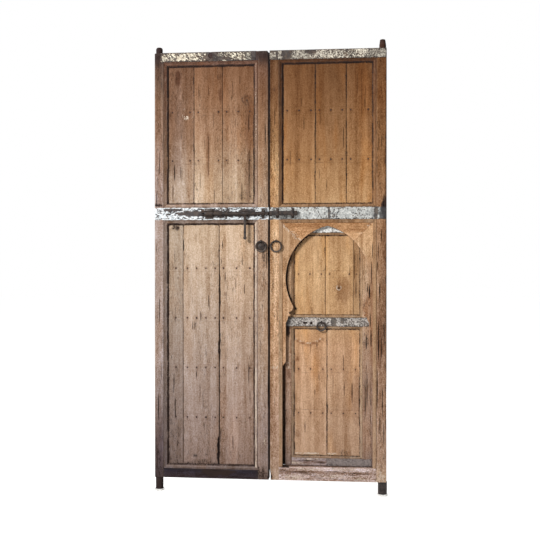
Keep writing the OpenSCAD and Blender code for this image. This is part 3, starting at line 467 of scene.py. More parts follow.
@dataclass(frozen=True)
class Finish:
    """The look of one kind of surface, whose fields feed the pattern's inputs of the same names."""

    name: str
    slot: str

    def sockets(self, graph: Graph, place: Socket) -> dict[str, Socket]:
        """The pattern's inputs that change over the surface."""
        return {"Vector": place}


@dataclass(frozen=True)
class WoodFinish(Finish):
    """The look of one set of boards or timbers."""

    tones: Tones
    grain: Grain = Grain.UPRIGHT
    silver: Colour = (0.9, 0.95, 1.03)
    silver_share: float = 0.5
    warm: Colour = (1.1, 0.95, 0.78)
    warm_share: float = 0.6
    contrast: float = 0.9
    flecks: float = 0.7
    bump: float = 0.5
    relief: float = 0.002
    gloss: float = 0.1

    def sockets(self, graph: Graph, place: Socket) -> dict[str, Socket]:
        """Turns the pattern along the grain and picks the tone by height.

        Args:
            graph: The material's nodes.
            place: The point on the piece.

        Returns:
            The sockets by input name.
        """
        height = graph.add("ShaderNodeSeparateXYZ", {0: place}).outputs["Z"]
        turned = graph.turn(place, math.pi / 2) if self.grain is Grain.LEVEL else place
        return {"Vector": turned, "Tone": graph.ramp(height, self.tones)}


@dataclass(frozen=True)
class TinFinish(Finish):
    """The look of one painted and flaking tin sheet."""

    paint: Colour
    shade: Colour
    bare: Colour
    rust: Colour
    loss: float
    flake_size: Colour
    speckle: float
    slant: float = 0.0
    bump: float = 0.5
    relief: float = 0.0012
    gloss: float = 0.5

    def sockets(self, graph: Graph, place: Socket) -> dict[str, Socket]:
        """Turns the pattern along the flakes."""
        return {"Vector": graph.turn(place, self.slant) if self.slant else place}


@dataclass(frozen=True)
class IronFinish(Finish):
    """The look of one kind of forged iron."""

    dark: Colour = (0.02, 0.017, 0.016)
    rust: Colour = (0.055, 0.032, 0.021)
    rubbed: Colour = (0.16, 0.13, 0.11)
    rust_share: float = 0.8
    bump: float = 0.6
    relief: float = 0.001
    gloss: float = 0.5


class Library:
    """The shader groups and the materials made from them, each built once."""

    def __init__(self) -> None:
        """Builds the three shared groups."""
        self.groups = {WoodFinish: weathered_wood_group(), TinFinish: flaked_tin_group()}
        self.groups[IronFinish] = rusted_iron_group()
        self.made: dict[str, bpy.types.Material] = {}

    def material(self, finish: Finish) -> bpy.types.Material:
        """Gives a finish's material, made on first use.

        Args:
            finish: The finish.

        Returns:
            The material.
        """
        if finish.name in self.made:
            return self.made[finish.name]
        material = bpy.data.materials.new(finish.name)
        material.use_nodes = True
        graph = Graph(material.node_tree)
        shader = material.node_tree.nodes["Principled BSDF"]
        pattern = graph.add("ShaderNodeGroup", node_tree=self.groups[type(finish)])
        varied = finish.sockets(graph, graph.add("ShaderNodeTexCoord").outputs["Object"])
        for socket in pattern.inputs:
            own = socket.name.lower().replace(" ", "_")
            graph.feed(socket, varied[socket.name] if socket.name in varied else getattr(finish, own))
        bump = graph.add("ShaderNodeBump", {"Strength": finish.bump, "Distance": finish.relief})
        graph.feed(bump.inputs["Height"], pattern.outputs["Height"])
        graph.feed(shader.inputs["Normal"], bump.outputs[0])
        graph.feed(shader.inputs["Base Color"], pattern.outputs["Color"])
        for name in ("Roughness", "Metallic"):
            if name in pattern.outputs:
                graph.feed(shader.inputs[name], pattern.outputs[name])
        shader.inputs["Specular IOR Level"].default_value = finish.gloss
        self.made[finish.name] = material
        return material


# The wood tones change with height and are darker towards the top and the bottom of the door. This is partly
# the wood's own weathering and partly painted shade, where the light falls off away from the door's middle.
LEFT_UPPER = WoodFinish(
    "left_upper_boards", "grey_wood",
    (
        (1.64, (0.535, 0.373, 0.246)), (1.8, (0.465, 0.315, 0.202)), (2.08, (0.327, 0.181, 0.102)),
        (2.36, (0.23, 0.113, 0.0577)), (2.48, (0.188, 0.0873, 0.0428)),
    ),
)
LEFT_GREYED = WoodFinish(
    "left_greyed_board", "grey_wood",
    (
        (1.64, (0.56, 0.415, 0.31)), (1.8, (0.48, 0.345, 0.25)), (2.08, (0.325, 0.197, 0.13)),
        (2.36, (0.24, 0.127, 0.075)), (2.48, (0.2, 0.1, 0.056)),
    ),
)
LEFT_LOWER = WoodFinish(
    "left_lower_boards", "pale_wood",
    (
        (0.15, (0.287, 0.192, 0.152)), (0.31, (0.353, 0.24, 0.188)), (0.6, (0.42, 0.296, 0.232)),
        (0.96, (0.51, 0.363, 0.266)), (1.42, (0.63, 0.441, 0.296)), (1.55, (0.62, 0.431, 0.282)),
    ),
    silver=(0.93, 0.97, 1.03), warm=(1.06, 0.97, 0.88),
)
LEFT_POST = WoodFinish(
    "left_post", "grey_wood",
    (
        (0.02, (0.0308, 0.0194, 0.018)), (0.078, (0.0396, 0.0264, 0.0234)), (0.09, (0.066, 0.0466, 0.0504)),
        (0.3, (0.114, 0.0792, 0.0792)), (0.48, (0.202, 0.145, 0.126)), (0.8, (0.361, 0.264, 0.219)),
        (1.5, (0.396, 0.29, 0.239)), (1.75, (0.361, 0.251, 0.203)), (2.0, (0.282, 0.187, 0.144)),
        (2.25, (0.198, 0.119, 0.0792)), (2.45, (0.132, 0.0748, 0.0495)), (2.52, (0.044, 0.0264, 0.0252)),
        (2.6, (0.0264, 0.0158, 0.0162)),
    ),
    contrast=1.1,
)
LEFT_STILE = WoodFinish(
    "left_stile", "grey_wood",
    (
        (0.09, (0.234, 0.157, 0.125)), (0.4, (0.302, 0.206, 0.16)), (0.9, (0.414, 0.273, 0.184)),
        (1.5, (0.432, 0.285, 0.191)), (1.75, (0.396, 0.255, 0.164)), (1.95, (0.329, 0.198, 0.12)),
        (2.3, (0.191, 0.1, 0.0561)), (2.45, (0.135, 0.0683, 0.0414)), (2.52, (0.045, 0.0273, 0.0239)),
    ),
    contrast=1.2,
)
LEFT_MOULDING = WoodFinish(
    "left_mouldings", "grey_wood",
    (
        (0.14, (0.24, 0.17, 0.15)), (0.8, (0.36, 0.26, 0.21)), (1.5, (0.42, 0.3, 0.235)),
        (1.9, (0.3, 0.19, 0.13)), (2.4, (0.17, 0.085, 0.055)),
    ),
)
BLACKENED = WoodFinish(
    "blackened_rail", "dark_wood",
    (
        (0.08, (0.0375, 0.0255, 0.0288)), (0.13, (0.0195, 0.0142, 0.0176)), (1.5, (0.12, 0.08, 0.06)),
        (2.5, (0.06, 0.036, 0.03)),
    ),
    grain=Grain.LEVEL, silver=(2.0, 1.9, 1.8), silver_share=0.35, warm=(0.4, 0.4, 0.5), warm_share=0.6,
    contrast=1.5,
)
RIGHT_UPPER = WoodFinish(
    "right_upper_boards", "golden_wood",
    (
        (1.66, (0.5, 0.28, 0.13)), (1.78, (0.423, 0.221, 0.0941)), (2.06, (0.286, 0.136, 0.0554)),
        (2.34, (0.19, 0.0819, 0.0311)), (2.48, (0.16, 0.0675, 0.0252)),
    ),
    silver=(0.92, 0.94, 0.98), silver_share=0.4, warm=(1.12, 0.96, 0.72), warm_share=0.8, contrast=0.95,
    flecks=0.12,
)
RIGHT_STILE = WoodFinish(
    "right_stile", "golden_wood",
    (
        (0.09, (0.414, 0.27, 0.187)), (0.45, (0.458, 0.283, 0.19)), (0.75, (0.567, 0.349, 0.212)),
        (1.2, (0.621, 0.385, 0.222)), (1.6, (0.6, 0.36, 0.189)), (1.9, (0.512, 0.3, 0.145)),
        (2.1, (0.296, 0.146, 0.0597)), (2.3, (0.181, 0.0807, 0.0337)), (2.5, (0.127, 0.0554, 0.0231)),
    ),
    silver=(0.93, 0.96, 1.02), contrast=1.35, flecks=0.9,
)
RIGHT_POST = WoodFinish(
    "right_post", "golden_wood",
    (
        (0.09, (0.493, 0.322, 0.206)), (0.2, (0.414, 0.244, 0.149)), (0.5, (0.37, 0.207, 0.123)),
        (1.2, (0.34, 0.184, 0.099)), (1.6, (0.323, 0.162, 0.0771)), (1.88, (0.234, 0.104, 0.0393)),
        (2.29, (0.147, 0.0574, 0.0187)), (2.5, (0.113, 0.0431, 0.0149)), (2.56, (0.0669, 0.0272, 0.0162)),
        (2.6, (0.0418, 0.0189, 0.0125)),
    ),
    contrast=1.6, flecks=1.0,
)
RIGHT_RAIL = WoodFinish(
    "right_rails", "pale_wood",
    (
        (0.08, (0.522, 0.365, 0.297)), (0.2, (0.499, 0.348, 0.28)), (1.6, (0.4, 0.24, 0.13)),
        (2.5, (0.22, 0.11, 0.06)),
    ),
    grain=Grain.LEVEL, silver=(1.42, 1.4, 1.32), silver_share=0.6, warm=(0.5, 0.44, 0.42), warm_share=0.8,
    contrast=2.4,
)
RIGHT_MOULDING = WoodFinish(
    "right_mouldings", "golden_wood",
    (
        (0.15, (0.4, 0.265, 0.175)), (1.0, (0.46, 0.285, 0.16)), (1.57, (0.44, 0.255, 0.135)),
        (1.75, (0.37, 0.2, 0.098)), (2.1, (0.25, 0.12, 0.053)), (2.45, (0.14, 0.06, 0.028)),
    ),
)
ARCH_UPRIGHT = WoodFinish(
    "arch_jambs", "pale_wood",
    (
        (0.16, (0.53, 0.333, 0.214)), (0.8, (0.592, 0.351, 0.198)), (1.2, (0.594, 0.358, 0.197)),
        (1.58, (0.47, 0.27, 0.14)),
    ),
    contrast=1.2, flecks=0.35,
)
ARCH_WORN = WoodFinish(
    "arch_worn_jamb", "pale_wood",
    (
        (0.16, (0.293, 0.168, 0.106)), (0.8, (0.293, 0.153, 0.0859)), (1.28, (0.316, 0.164, 0.0845)),
        (1.4, (0.5, 0.285, 0.142)), (1.58, (0.53, 0.29, 0.139)),
    ),
    warm=(1.15, 0.95, 0.7), contrast=1.4, flecks=0.9,
)
ARCH_LEVEL = WoodFinish(
    "arch_head", "golden_wood", ((1.3, (0.612, 0.35, 0.177)), (1.57, (0.552, 0.295, 0.141))),
    grain=Grain.LEVEL, contrast=1.25, flecks=0.2,
)
WICKET_BOARD = WoodFinish(
    "wicket_boards", "pale_wood",
    (
        (0.22, (0.516, 0.318, 0.199)), (0.4, (0.534, 0.327, 0.201)), (0.85, (0.612, 0.353, 0.197)),
        (1.0, (0.567, 0.333, 0.168)), (1.25, (0.63, 0.38, 0.19)), (1.5, (0.546, 0.322, 0.16)),
    ),
    silver=(0.95, 0.94, 0.97), silver_share=0.3, warm=(1.1, 0.95, 0.7), warm_share=0.8, contrast=0.8,
    flecks=0.25,
)
WICKET_STILE = WoodFinish(
    "wicket_stiles", "pale_wood",
    (
        (0.17, (0.2, 0.13, 0.1)), (0.3, (0.32, 0.195, 0.13)), (0.7, (0.36, 0.215, 0.138)),
        (1.0, (0.43, 0.257, 0.15)), (1.5, (0.47, 0.285, 0.153)),
    ),
    contrast=1.4,
)
WICKET_RAIL = WoodFinish(
    "wicket_rails", "dark_wood",
    (
        (0.16, (0.33, 0.235, 0.2)), (0.21, (0.28, 0.195, 0.165)), (1.0, (0.4, 0.26, 0.16)),
        (1.5, (0.45, 0.28, 0.15)),
    ),
    grain=Grain.LEVEL, silver=(1.3, 1.35, 1.4), silver_share=0.5, warm=(0.5, 0.45, 0.5), warm_share=0.7,
    contrast=2.1,
)
BATTEN = WoodFinish(
    "battens", "grey_wood",
    ((0.2, (0.3, 0.21, 0.16)), (1.2, (0.4, 0.27, 0.19)), (2.4, (0.34, 0.21, 0.135))), grain=Grain.LEVEL,
)
LEFT_TOP_TIN = TinFinish(
    "cream_flakes", "tin", (0.98, 0.9, 0.7), (0.56, 0.47, 0.35), bare=(0.035, 0.024, 0.02),
    rust=(0.075, 0.046, 0.03), loss=0.505, flake_size=(120.0, 120.0, 62.0), slant=0.9, speckle=0.35,
)
LEFT_MID_TIN = TinFinish(
    "white_flakes", "tin", (0.95, 0.97, 0.98), (0.74, 0.8, 0.83), bare=(0.028, 0.023, 0.024),
    rust=(0.08, 0.06, 0.05), loss=0.49, flake_size=(48.0, 60.0, 110.0), speckle=0.3,
)
RIGHT_TOP_TIN = TinFinish(
    "grey_speckle", "tin", (0.95, 0.87, 0.71), (0.42, 0.36, 0.29), bare=(0.045, 0.034, 0.028),
    rust=(0.11, 0.074, 0.05), loss=0.49, flake_size=(120.0, 120.0, 150.0), slant=0.4, speckle=0.4,
)
RIGHT_MID_TIN = TinFinish(
    "pale_speckle", "tin", (0.78, 0.78, 0.74), (0.5, 0.51, 0.49), bare=(0.065, 0.064, 0.066),
    rust=(0.17, 0.14, 0.115), loss=0.43, flake_size=(110.0, 110.0, 110.0), speckle=0.75,
)
WICKET_TIN = TinFinish(
    "grey_mottle", "tin", (0.72, 0.66, 0.6), (0.38, 0.34, 0.31), bare=(0.08, 0.068, 0.06),
    rust=(0.16, 0.13, 0.105), loss=0.475, flake_size=(120.0, 120.0, 120.0), slant=0.5, speckle=0.5,
)
CROWN_TIN = TinFinish(
    "white_speckle", "tin", (0.9, 0.89, 0.85), (0.62, 0.6, 0.56), bare=(0.09, 0.08, 0.07),
    rust=(0.16, 0.12, 0.09), loss=0.42, flake_size=(90.0, 90.0, 90.0), speckle=0.5,
)
SLATE_TIN = TinFinish(
    "slate_tin", "tin", (0.27, 0.225, 0.21), (0.2, 0.165, 0.155), bare=(0.12, 0.1, 0.095),
    rust=(0.16, 0.11, 0.09), loss=0.4, flake_size=(60.0, 60.0, 90.0), speckle=0.3,
)
DARK_IRON = IronFinish("dark_iron", "iron")
NAIL_IRON = IronFinish("nail_iron", "iron", dark=(0.035, 0.022, 0.02), rust=(0.085, 0.042, 0.028))
SHOE_IRON = IronFinish(
    "shoe_iron", "iron", dark=(0.02, 0.016, 0.0155), rust=(0.055, 0.037, 0.03), rust_share=0.8,
)
LIMEWASH = IronFinish(
    "limewashed_cup", "limewash", dark=(0.8, 0.79, 0.77), rust=(0.72, 0.7, 0.66), rubbed=(0.7, 0.68, 0.65),
)


class Piece:
    """One mesh of the door, with its layers of marks."""

    def __init__(self, name: str, body: str, finish: Finish, replaces: tuple[str, ...]) -> None:
        """Starts an empty piece.

        Args:
            name: The piece's name.
            body: The body that it rides on.
            finish: The finish that it gets.
            replaces: The nodes that it stands for.
        """
        self.name = name
        self.body = body
        self.finish = finish
        self.replaces = replaces
        self.mesh = bmesh.new()
        self.layers = {mark: self.mesh.verts.layers.float.new(mark.value) for mark in Mark}
        self.done = self.mesh.verts.layers.float.new("done")

    def fresh(self) -> list[bmesh.types.BMVert]:
        """The vertices of the shape that is being made."""
        return [v for v in self.mesh.verts if v[self.done] < 0.5]

    def fresh_edges(self) -> list[bmesh.types.BMEdge]:
        """The edges of the shape that is being made."""
        return [e for e in self.mesh.edges if e.verts[0][self.done] < 0.5]

    def fresh_faces(self) -> list[bmesh.types.BMFace]:
        """The faces of the shape that is being made."""
        return [f for f in self.mesh.faces if f.verts[0][self.done] < 0.5]

    def settle(self, seed: float) -> None:
        """Ends the shape that is being made.

        Args:
            seed: The number that shifts its finish's pattern.
        """
        for vert in self.fresh():
            vert[self.layers[Mark.SEED]] = seed
            vert[self.done] = 1.0

    def bevel(self, edges: list[bmesh.types.BMEdge], width: float, segments: int = 2) -> None:
        """Rounds edges."""
        bmesh.ops.bevel(
            self.mesh, geom=edges, offset=width, offset_type="OFFSET", segments=segments, profile=0.5,
            affect="EDGES", material=-1, clamp_overlap=True,
        )

    def soften(self, width: float) -> None:
        """Clears flat edges away, rounds the sharp ones and divides the large faces.

        Args:
            width: The width of the rounding.
        """
        mesh = self.mesh
        bmesh.ops.dissolve_limit(mesh, angle_limit=FLAT_ANGLE, verts=mesh.verts, edges=mesh.edges)
        self.bevel([e for e in mesh.edges if e.calc_face_angle(0.0) > BEVEL_ANGLE], width)
        bmesh.ops.triangulate(mesh, faces=[f for f in mesh.faces if len(f.verts) > 4])

    def cone(self, at: Matrix, segments: int, radii: Span, depth: float) -> list[bmesh.types.BMVert]:
        """Adds a closed cone.

        Args:
            at: Its placing.
            segments: The number of its sides.
            radii: The radius at its low and its high end.
            depth: Its height.

        Returns:
            The cone's vertices.
        """
        return bmesh.ops.create_cone(
            self.mesh, cap_ends=True, segments=segments, radius1=radii[0], radius2=radii[1], depth=depth,
            matrix=at,
        )["verts"]

    def slice(self, axis: int, places: list[float], front_of: float | None = None) -> None:
        """Cuts loops into the shape that is being made.

        Args:
            axis: The axis that the cutting planes stand across.
            places: Where the planes stand on that axis.
            front_of: If given, only faces in front of this depth are cut.
        """
        normal = Vector(float(i == axis) for i in range(3))
        for place in places:
            faces = self.fresh_faces()
            if front_of is not None:
                faces = [f for f in faces if f.calc_center_median().y < front_of]
            ends = [(f, [v.co[axis] for v in f.verts]) for f in faces]
            spans = [f for f, at in ends if min(at) < place < max(at)]
            edges = {e for f in spans for e in f.edges}
            verts = {v for f in spans for v in f.verts}
            bmesh.ops.bisect_plane(
                self.mesh, geom=[*verts, *edges, *spans], dist=1e-6, plane_co=normal * place, plane_no=normal,
            )

    def close(self, library: Library) -> None:
        """Turns the piece into an object that rides on its body.

        Args:
            library: The shared groups and materials.
        """
        self.mesh.verts.layers.float.remove(self.done)
        for face in self.mesh.faces:
            face.smooth = True
        for edge in self.mesh.edges:
            edge.smooth = edge.calc_face_angle(0.0) < SHARP_ANGLE
        data = bpy.data.meshes.new(self.name)
        self.mesh.to_mesh(data)
        self.mesh.free()
        piece = bpy.data.objects.new(self.name, data)
        bpy.context.scene.collection.objects.link(piece)
        data.materials.append(library.material(self.finish))
        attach(piece, self.body)
        if self.replaces:
            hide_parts(*self.replaces)
        LOG.info("%s: %d faces", self.name, len(data.polygons))


class Shape(Protocol):
    """Anything that can add its mesh to a piece."""

    def add_to(self, piece: Piece) -> None:
        """Adds the mesh."""


class Marks(dict):
    """The strength of each mark on one vertex."""

    def __init__(self) -> None:
        """Starts without marks."""
        super().__init__(dict.fromkeys(Mark, 0.0))

    def lay(self, mark: Mark, value: float) -> None:
        """Keeps the stronger of the old and the new mark."""
        self[mark] = max(self[mark], value)


@dataclass(frozen=True)
class Crack:
    """A split along the grain: its place across the grain, its ends, width, depth and darkness."""

    across: float
    start: float
    end: float
    width: float = 0.005
    depth: float = 0.006
    strength: float = 0.9
    rim: float = 0.0014

    def loops(self) -> list[float]:
        """The places of the loops that its walls need."""
        half = self.width / 2.0
        return [self.across + d for d in (-half - self.rim, -half, 0.0, half, half + self.rim)]

    def cut(self, across: float, along: float) -> Span:
        """Finds the crack at one place.

        Args:
            across: The place across the grain.
            along: The place along the grain.

        Returns:
            Its depth and its darkness there.
        """
        share = (along - self.start) / (self.end - self.start)
        if not 0.0 < share < 1.0:
            return 0.0, 0.0
        half = self.width * math.sin(math.pi * share) ** 0.6 / 2.0
        distance = abs(across - self.across)
        return self.depth * max(0.0, 1.0 - distance / half), 1.0 - ease(0.6 * half, half + 0.001, distance)


@dataclass(frozen=True)
class Patch:
    """A soft-edged mark: its layer, its place, its half sizes and strength."""

    mark: Mark
    x: float
    z: float
    half_x: float
    half_z: float
    strength: float = 1.0

    def at(self, x: float, z: float) -> float:
        """The mark's strength at one place.

        Args:
            x: The place across the door.
            z: The place's height.

        Returns:
            The strength, which is 0 where there is none.
        """
        ragged = 0.35 * noise.noise(Vector((x * 70.0, z * 45.0, self.x)))
        reach = math.hypot((x - self.x) / self.half_x, (z - self.z) / self.half_z) + ragged
        return self.strength * (1.0 - ease(0.55, 1.15, reach))


grime = partial(Patch, Mark.GRIME)
stain = partial(Patch, Mark.STAIN)
scuff = partial(Patch, Mark.SCUFF)


@dataclass(frozen=True)
class Arc:
    """A curved rub that a swinging ring left: its layer, centre, radius, half width and half angle."""

    mark: Mark
    x: float
    z: float
    radius: float
    half_width: float
    half_angle: float
    strength: float

    def at(self, x: float, z: float) -> float:
        """The mark's strength at one place.

        Args:
            x: The place across the door.
            z: The place's height.

        Returns:
            The strength, which is 0 where there is none.
        """
        run, drop = x - self.x, self.z - z
        off = abs(math.hypot(run, drop) - self.radius)
        fading = 1.0 - ease(0.8 * self.half_angle, self.half_angle, abs(math.atan2(run, drop)))
        return self.strength * fading * (1.0 - ease(0.3 * self.half_width, self.half_width, off))


@dataclass(frozen=True)
class Recess:
    """Painted shadow and dirt along the sunk edges of a panel: dark on the left and top edges, and fainter on
    the lit right and bottom edges.
    """

    left: float
    right: float
    bottom: float
    top: float
    strength: float
    reach: float = 0.007
    mark: Mark = Mark.GRIME

    @classmethod
    def around(cls, boxes: list[Box], z: float, strength: float) -> Recess:
        """Finds a panel's edges from its mouldings.

        Args:
            boxes: The boxes of the mouldings.
            z: A height within the panel.
            strength: How dark the painted shadow and dirt are.

        Returns:
            The recess.
        """
        upright = [b for b in boxes if b.size.z > b.size.x and b.low.z < z < b.high.z]
        upright.sort(key=lambda b: b.low.x)
        level = [b for b in boxes if b.size.x > b.size.z]
        bottom = max((b.high.z for b in level if b.high.z < z), default=z - 9.0)
        top = min((b.low.z for b in level if b.low.z > z), default=z + 9.0)
        return cls(upright[0].high.x, upright[-1].low.x, bottom, top, strength)

    def loops(self) -> tuple[tuple[int, float], ...]:
        """The places of the loops that the painted shadow's edge needs."""
        steps = (0.0, 0.5 * self.reach, self.reach)
        sides = [(0, self.left + d) for d in steps] + [(0, self.right - d) for d in steps]
        ends = [(2, self.bottom + d) for d in steps] + [(2, self.top - d) for d in steps]
        return (*sides, *ends)

    def at(self, x: float, z: float) -> float:
        """The strength of the painted shadow and dirt at one place.

        Args:
            x: The place across the door.
            z: The place's height.

        Returns:
            The strength, which is 0 where there is none.
        """
        # Painted shadow: dark along the left and top edges, which the mouldings shade, and a fainter dark line
        # along the lit right and bottom edges.
        shaded = min(x - self.left, self.top - z)
        lit = min(self.right - x, z - self.bottom)
        ragged = 0.8 + 0.4 * noise.noise(Vector((x * 30.0, z * 30.0, self.left)))
        dark = 1.0 - ease(0.3 * self.reach, self.reach, shaded)
        faint = 0.9 * (1.0 - ease(0.2 * self.reach, 0.8 * self.reach, lit))
        return self.strength * ragged * max(dark, faint)


@dataclass(frozen=True)
class ArchRim:
    """The painted shadow that the rim of the arch casts on the wicket, with some dirt, heavier on the shaded
    left side.
    """

    middle: float
    offset: float
    radius: float
    centre_z: float
    cusp_drop: float
    reach: float = 0.011
    mark: Mark = Mark.GRIME

    def at(self, x: float, z: float) -> float:
        """The painted shadow's strength at one place.

        Args:
            x: The place across the door.
            z: The place's height.

        Returns:
            The strength, which is 0 where there is none.
        """
        run, rise = x - self.middle, z - self.centre_z
        if rise < -1.15 * self.cusp_drop:
            return 0.0
        inside = self.radius - math.hypot(abs(run) + self.offset, rise)
        # The painted shadow is heaviest on the left, away from the light.
        side = 0.25 + 0.75 * (1.0 - ease(-0.05, 0.12, run))
        return side * (1.0 - ease(0.35 * self.reach, self.reach, inside))


@dataclass(frozen=True)
class Knot:
    """A knot in a board: its place, radius and darkness."""

    across: float
    along: float
    radius: float
    strength: float


@dataclass(frozen=True)
class Bite:
    """Wood that is missing from one edge: its side, ends and depth."""

    side: int
    start: float
    end: float
    depth: float

    def at(self, along: float) -> float:
        """The depth that is missing at one place.

        Args:
            along: The place along the edge.

        Returns:
            The depth, which is 0 where nothing is missing.
        """
        share = (along - self.start) / (self.end - self.start)
        if not 0.0 < share < 1.0:
            return 0.0
        ragged = 0.6 + 0.5 * noise.noise(Vector((along * 35.0, self.start, 3.0)))
        ragged += 0.5 * noise.noise(Vector((along * 130.0, self.start, 5.0)))
        return self.depth * math.sin(math.pi * share) ** 0.4 * max(0.1, ragged)


@dataclass
class Timber:
    """A sawn and worn piece of wood: a stile, rail, board or batten."""

    box: Box
    grain: Grain
    seed: float
    arris: float = 0.003
    across_step: float = 0.008
    along_step: float = 0.018
    ripple: float = 0.0007
    wander: float = 0.002
    edge_grime: float = 0.0
    edge_reach: float = 0.014
    edge_wear: float = 0.35
    shade: float = 0.0
    hidden_side: int = 0
    splits: int = 0
    cracks: tuple[Crack, ...] = ()
    knots: tuple[Knot, ...] = ()
    patches: tuple[Patch | Arc | Recess | ArchRim, ...] = ()
    bites: tuple[Bite, ...] = ()
    nails: tuple[Span, ...] = ()
    lines: tuple[float, ...] = ()
    loops: tuple[tuple[int, float], ...] = ()

    def add_to(self, piece: Piece) -> None:
        """Builds the timber.

        Args:
            piece: The piece that takes its mesh.
        """
        bmesh.ops.create_cube(piece.mesh, size=1.0, matrix=self.box.placing)
        middle = self.box.middle.y
        edges = piece.fresh_edges()
        if self.hidden_side:
            edges = [e for e in edges if min(v.co.y for v in e.verts) < middle]
        piece.bevel(edges, self.arris)
        along, across = self.grain.value, 2 - self.grain.value
        cracks = [*self.cracks, *self._small_splits()]
        piece.slice(across, self._grid(across))
        fine = [place for axis, place in self.loops if axis == across]
        fine += [place for crack in cracks for place in crack.loops()]
        fine += [knot.across + knot.radius * 0.25 * i for knot in self.knots for i in range(-7, 8)]
        piece.slice(across, fine, middle)
        self._divide(piece, along)
        fine = [place for axis, place in self.loops if axis == along]
        fine += [line + d for line in self.lines for d in (-0.0015, 0.0, 0.0015)]
        fine += [knot.along + knot.radius * 0.35 * i for knot in self.knots for i in range(-7, 8)]
        piece.slice(along, fine, middle)
        self._weather(piece, cracks)
        piece.settle(self.seed)

    def _grid(self, axis: int) -> list[float]:
        """Spaces loops evenly across the timber.

        Args:
            axis: The axis across the grain.

        Returns:
            The loops' places.
        """
        low, length = self.box.low[axis] + self.arris, self.box.size[axis] - 2.0 * self.arris
        count = max(1, round(length / self.across_step))
        return [low + length * i / count for i in range(1, count)]

    def _divide(self, piece: Piece, axis: int) -> None:
        """Divides the edges that run along the grain.

        Args:
            piece: The piece that holds the timber.
            axis: The grain's axis.
        """
        length = self.box.size[axis] - 2.0 * self.arris
        cuts = round(length / self.along_step) - 1
        if cuts < 1:
            return
        edges = []
        for edge in piece.fresh_edges():
            run = edge.verts[1].co - edge.verts[0].co
            if abs(run[axis]) > 0.99 * run.length and run.length > 0.5 * length:
                edges.append(edge)
        bmesh.ops.subdivide_edges(piece.mesh, edges=edges, cuts=cuts, use_grid_fill=True)

    def _small_splits(self) -> list[Crack]:
        """Scatters short splits over the face, the same on each run."""
        draw = random.Random(round(self.seed * 1000))
        along, across = self.grain.value, 2 - self.grain.value
        low, high = self.box.low, self.box.high
        margin = 0.12 * (high[across] - low[across])
        found = []
        for _ in range(self.splits):
            place = draw.uniform(low[across] + margin, high[across] - margin)
            length = draw.uniform(0.02, 0.09)
            start = draw.uniform(low[along] + 0.05, high[along] - length - 0.05)
            width = draw.uniform(0.001, 0.0026)
            found.append(Crack(place, start, start + length, width, draw.uniform(0.002, 0.004), 0.6))
        return found

    def _mark_face(self, marks: Marks, cracks: list[Crack], s: float, t: float, push: float) -> float:
        """Lays splits, knots and rust on one place of the face.

        Args:
            marks: The place's marks.
            cracks: All the splits of the face.
            s: The place across the grain.
            t: The place along the grain.
            push: How far the wood is sunk so far.

        Returns:
            How far it is sunk in the end.
        """
        for crack in cracks:
            depth, dark = crack.cut(s, t)
            if dark > 0.0:
                push += depth
                broken = 0.55 + 0.9 * noise.noise(Vector((t * 70.0, crack.across * 90.0, self.seed)))
                share = crack.strength * min(1.0, max(0.0, broken + 0.08 * crack.width / 0.002))
                marks.lay(Mark.CRACK, dark * share)
        for knot in self.knots:
            reach = math.hypot(s - knot.across, (t - knot.along) * 0.7) / knot.radius
            if reach < 2.2:
                swirl = 0.5 + 0.5 * math.cos(reach * 9.0)
                broken = 0.5 + 0.9 * noise.noise(Vector((s * 60.0, t * 60.0, knot.along)))
                ring = 0.7 * knot.strength * (1.0 - ease(0.2, 2.0, reach)) * (0.4 + 0.6 * swirl)
                marks.lay(Mark.STAIN, ring * broken)
                marks.lay(Mark.GRIME, knot.strength * (1.0 - ease(0.1, 1.4, reach)) * (0.35 + 0.3 * swirl))
                push += 0.0012 * (1.0 - ease(0.2, 0.7, reach))
        for x, z in self.nails:
            run, rise = s - x, t - z
            if abs(run) < 0.03 and -0.07 < rise < 0.03:
                marks.lay(Mark.STAIN, 0.75 * math.exp(-(run * run + rise * rise) / 0.00006))
                if rise < 0.0:
                    marks.lay(Mark.STAIN, 0.49 * math.exp(-run * run / 0.00002) * math.exp(rise * 45.0))
        return push

    def _weather(self, piece: Piece, cracks: list[Crack]) -> None:
        """Wears the timber: ripples, chipped edges, splits and the layers of marks.

        Args:
            piece: The piece that holds the timber.
            cracks: All the splits of its face.
        """
        along, across = self.grain.value, 2 - self.grain.value
        low, high, middle = self.box.low, self.box.high, self.box.middle
        for vert in piece.fresh():
            co = vert.co
            s, t = co[across], co[along]
            front = co.y < middle.y
            to_low, to_high = s - low[across], high[across] - s
            to_edge = min(to_low, to_high)
            near = min(to_edge, t - low[along], high[along] - t)
            marks = Marks()
            push = self.ripple * noise.noise(Vector((s * 9.0 + self.seed, t * 2.0, self.seed)))
            push += 0.4 * self.ripple * noise.noise(Vector((s * 75.0, t * 6.0, self.seed)))
            depth = min(abs(co.y - low.y), abs(high.y - co.y))
            if depth < 0.5 * self.arris and near < 1.5 * self.arris:
                chip = max(0.0, noise.noise(Vector((t * 31.0, s * 31.0, self.seed + 5.0))) - 0.1)
                push += (1.0 if front else -1.0) * self.arris * 1.1 * chip
            rough = 0.5 + 0.5 * noise.noise(Vector((s * 26.0, t * 9.0, self.seed + 2.0)))
            if front:
                push = self._mark_face(marks, cracks, s, t, push)
                for line in self.lines:
                    if abs(t - line) < 0.0008 and to_edge > self.arris:
                        push += 0.0007
                        marks.lay(Mark.GRIME, 0.42 + 0.3 * noise.noise(Vector((s * 22.0, line, 2.0))))
                for patch in self.patches:
                    marks.lay(patch.mark, patch.at(co.x, co.z))
                if self.edge_grime:
                    dirt = self.edge_grime * math.exp(-near / self.edge_reach)
                    marks.lay(Mark.GRIME, dirt * (0.45 + rough))
            edge = 1.0 - ease(0.0, 2.5 * self.arris, near)
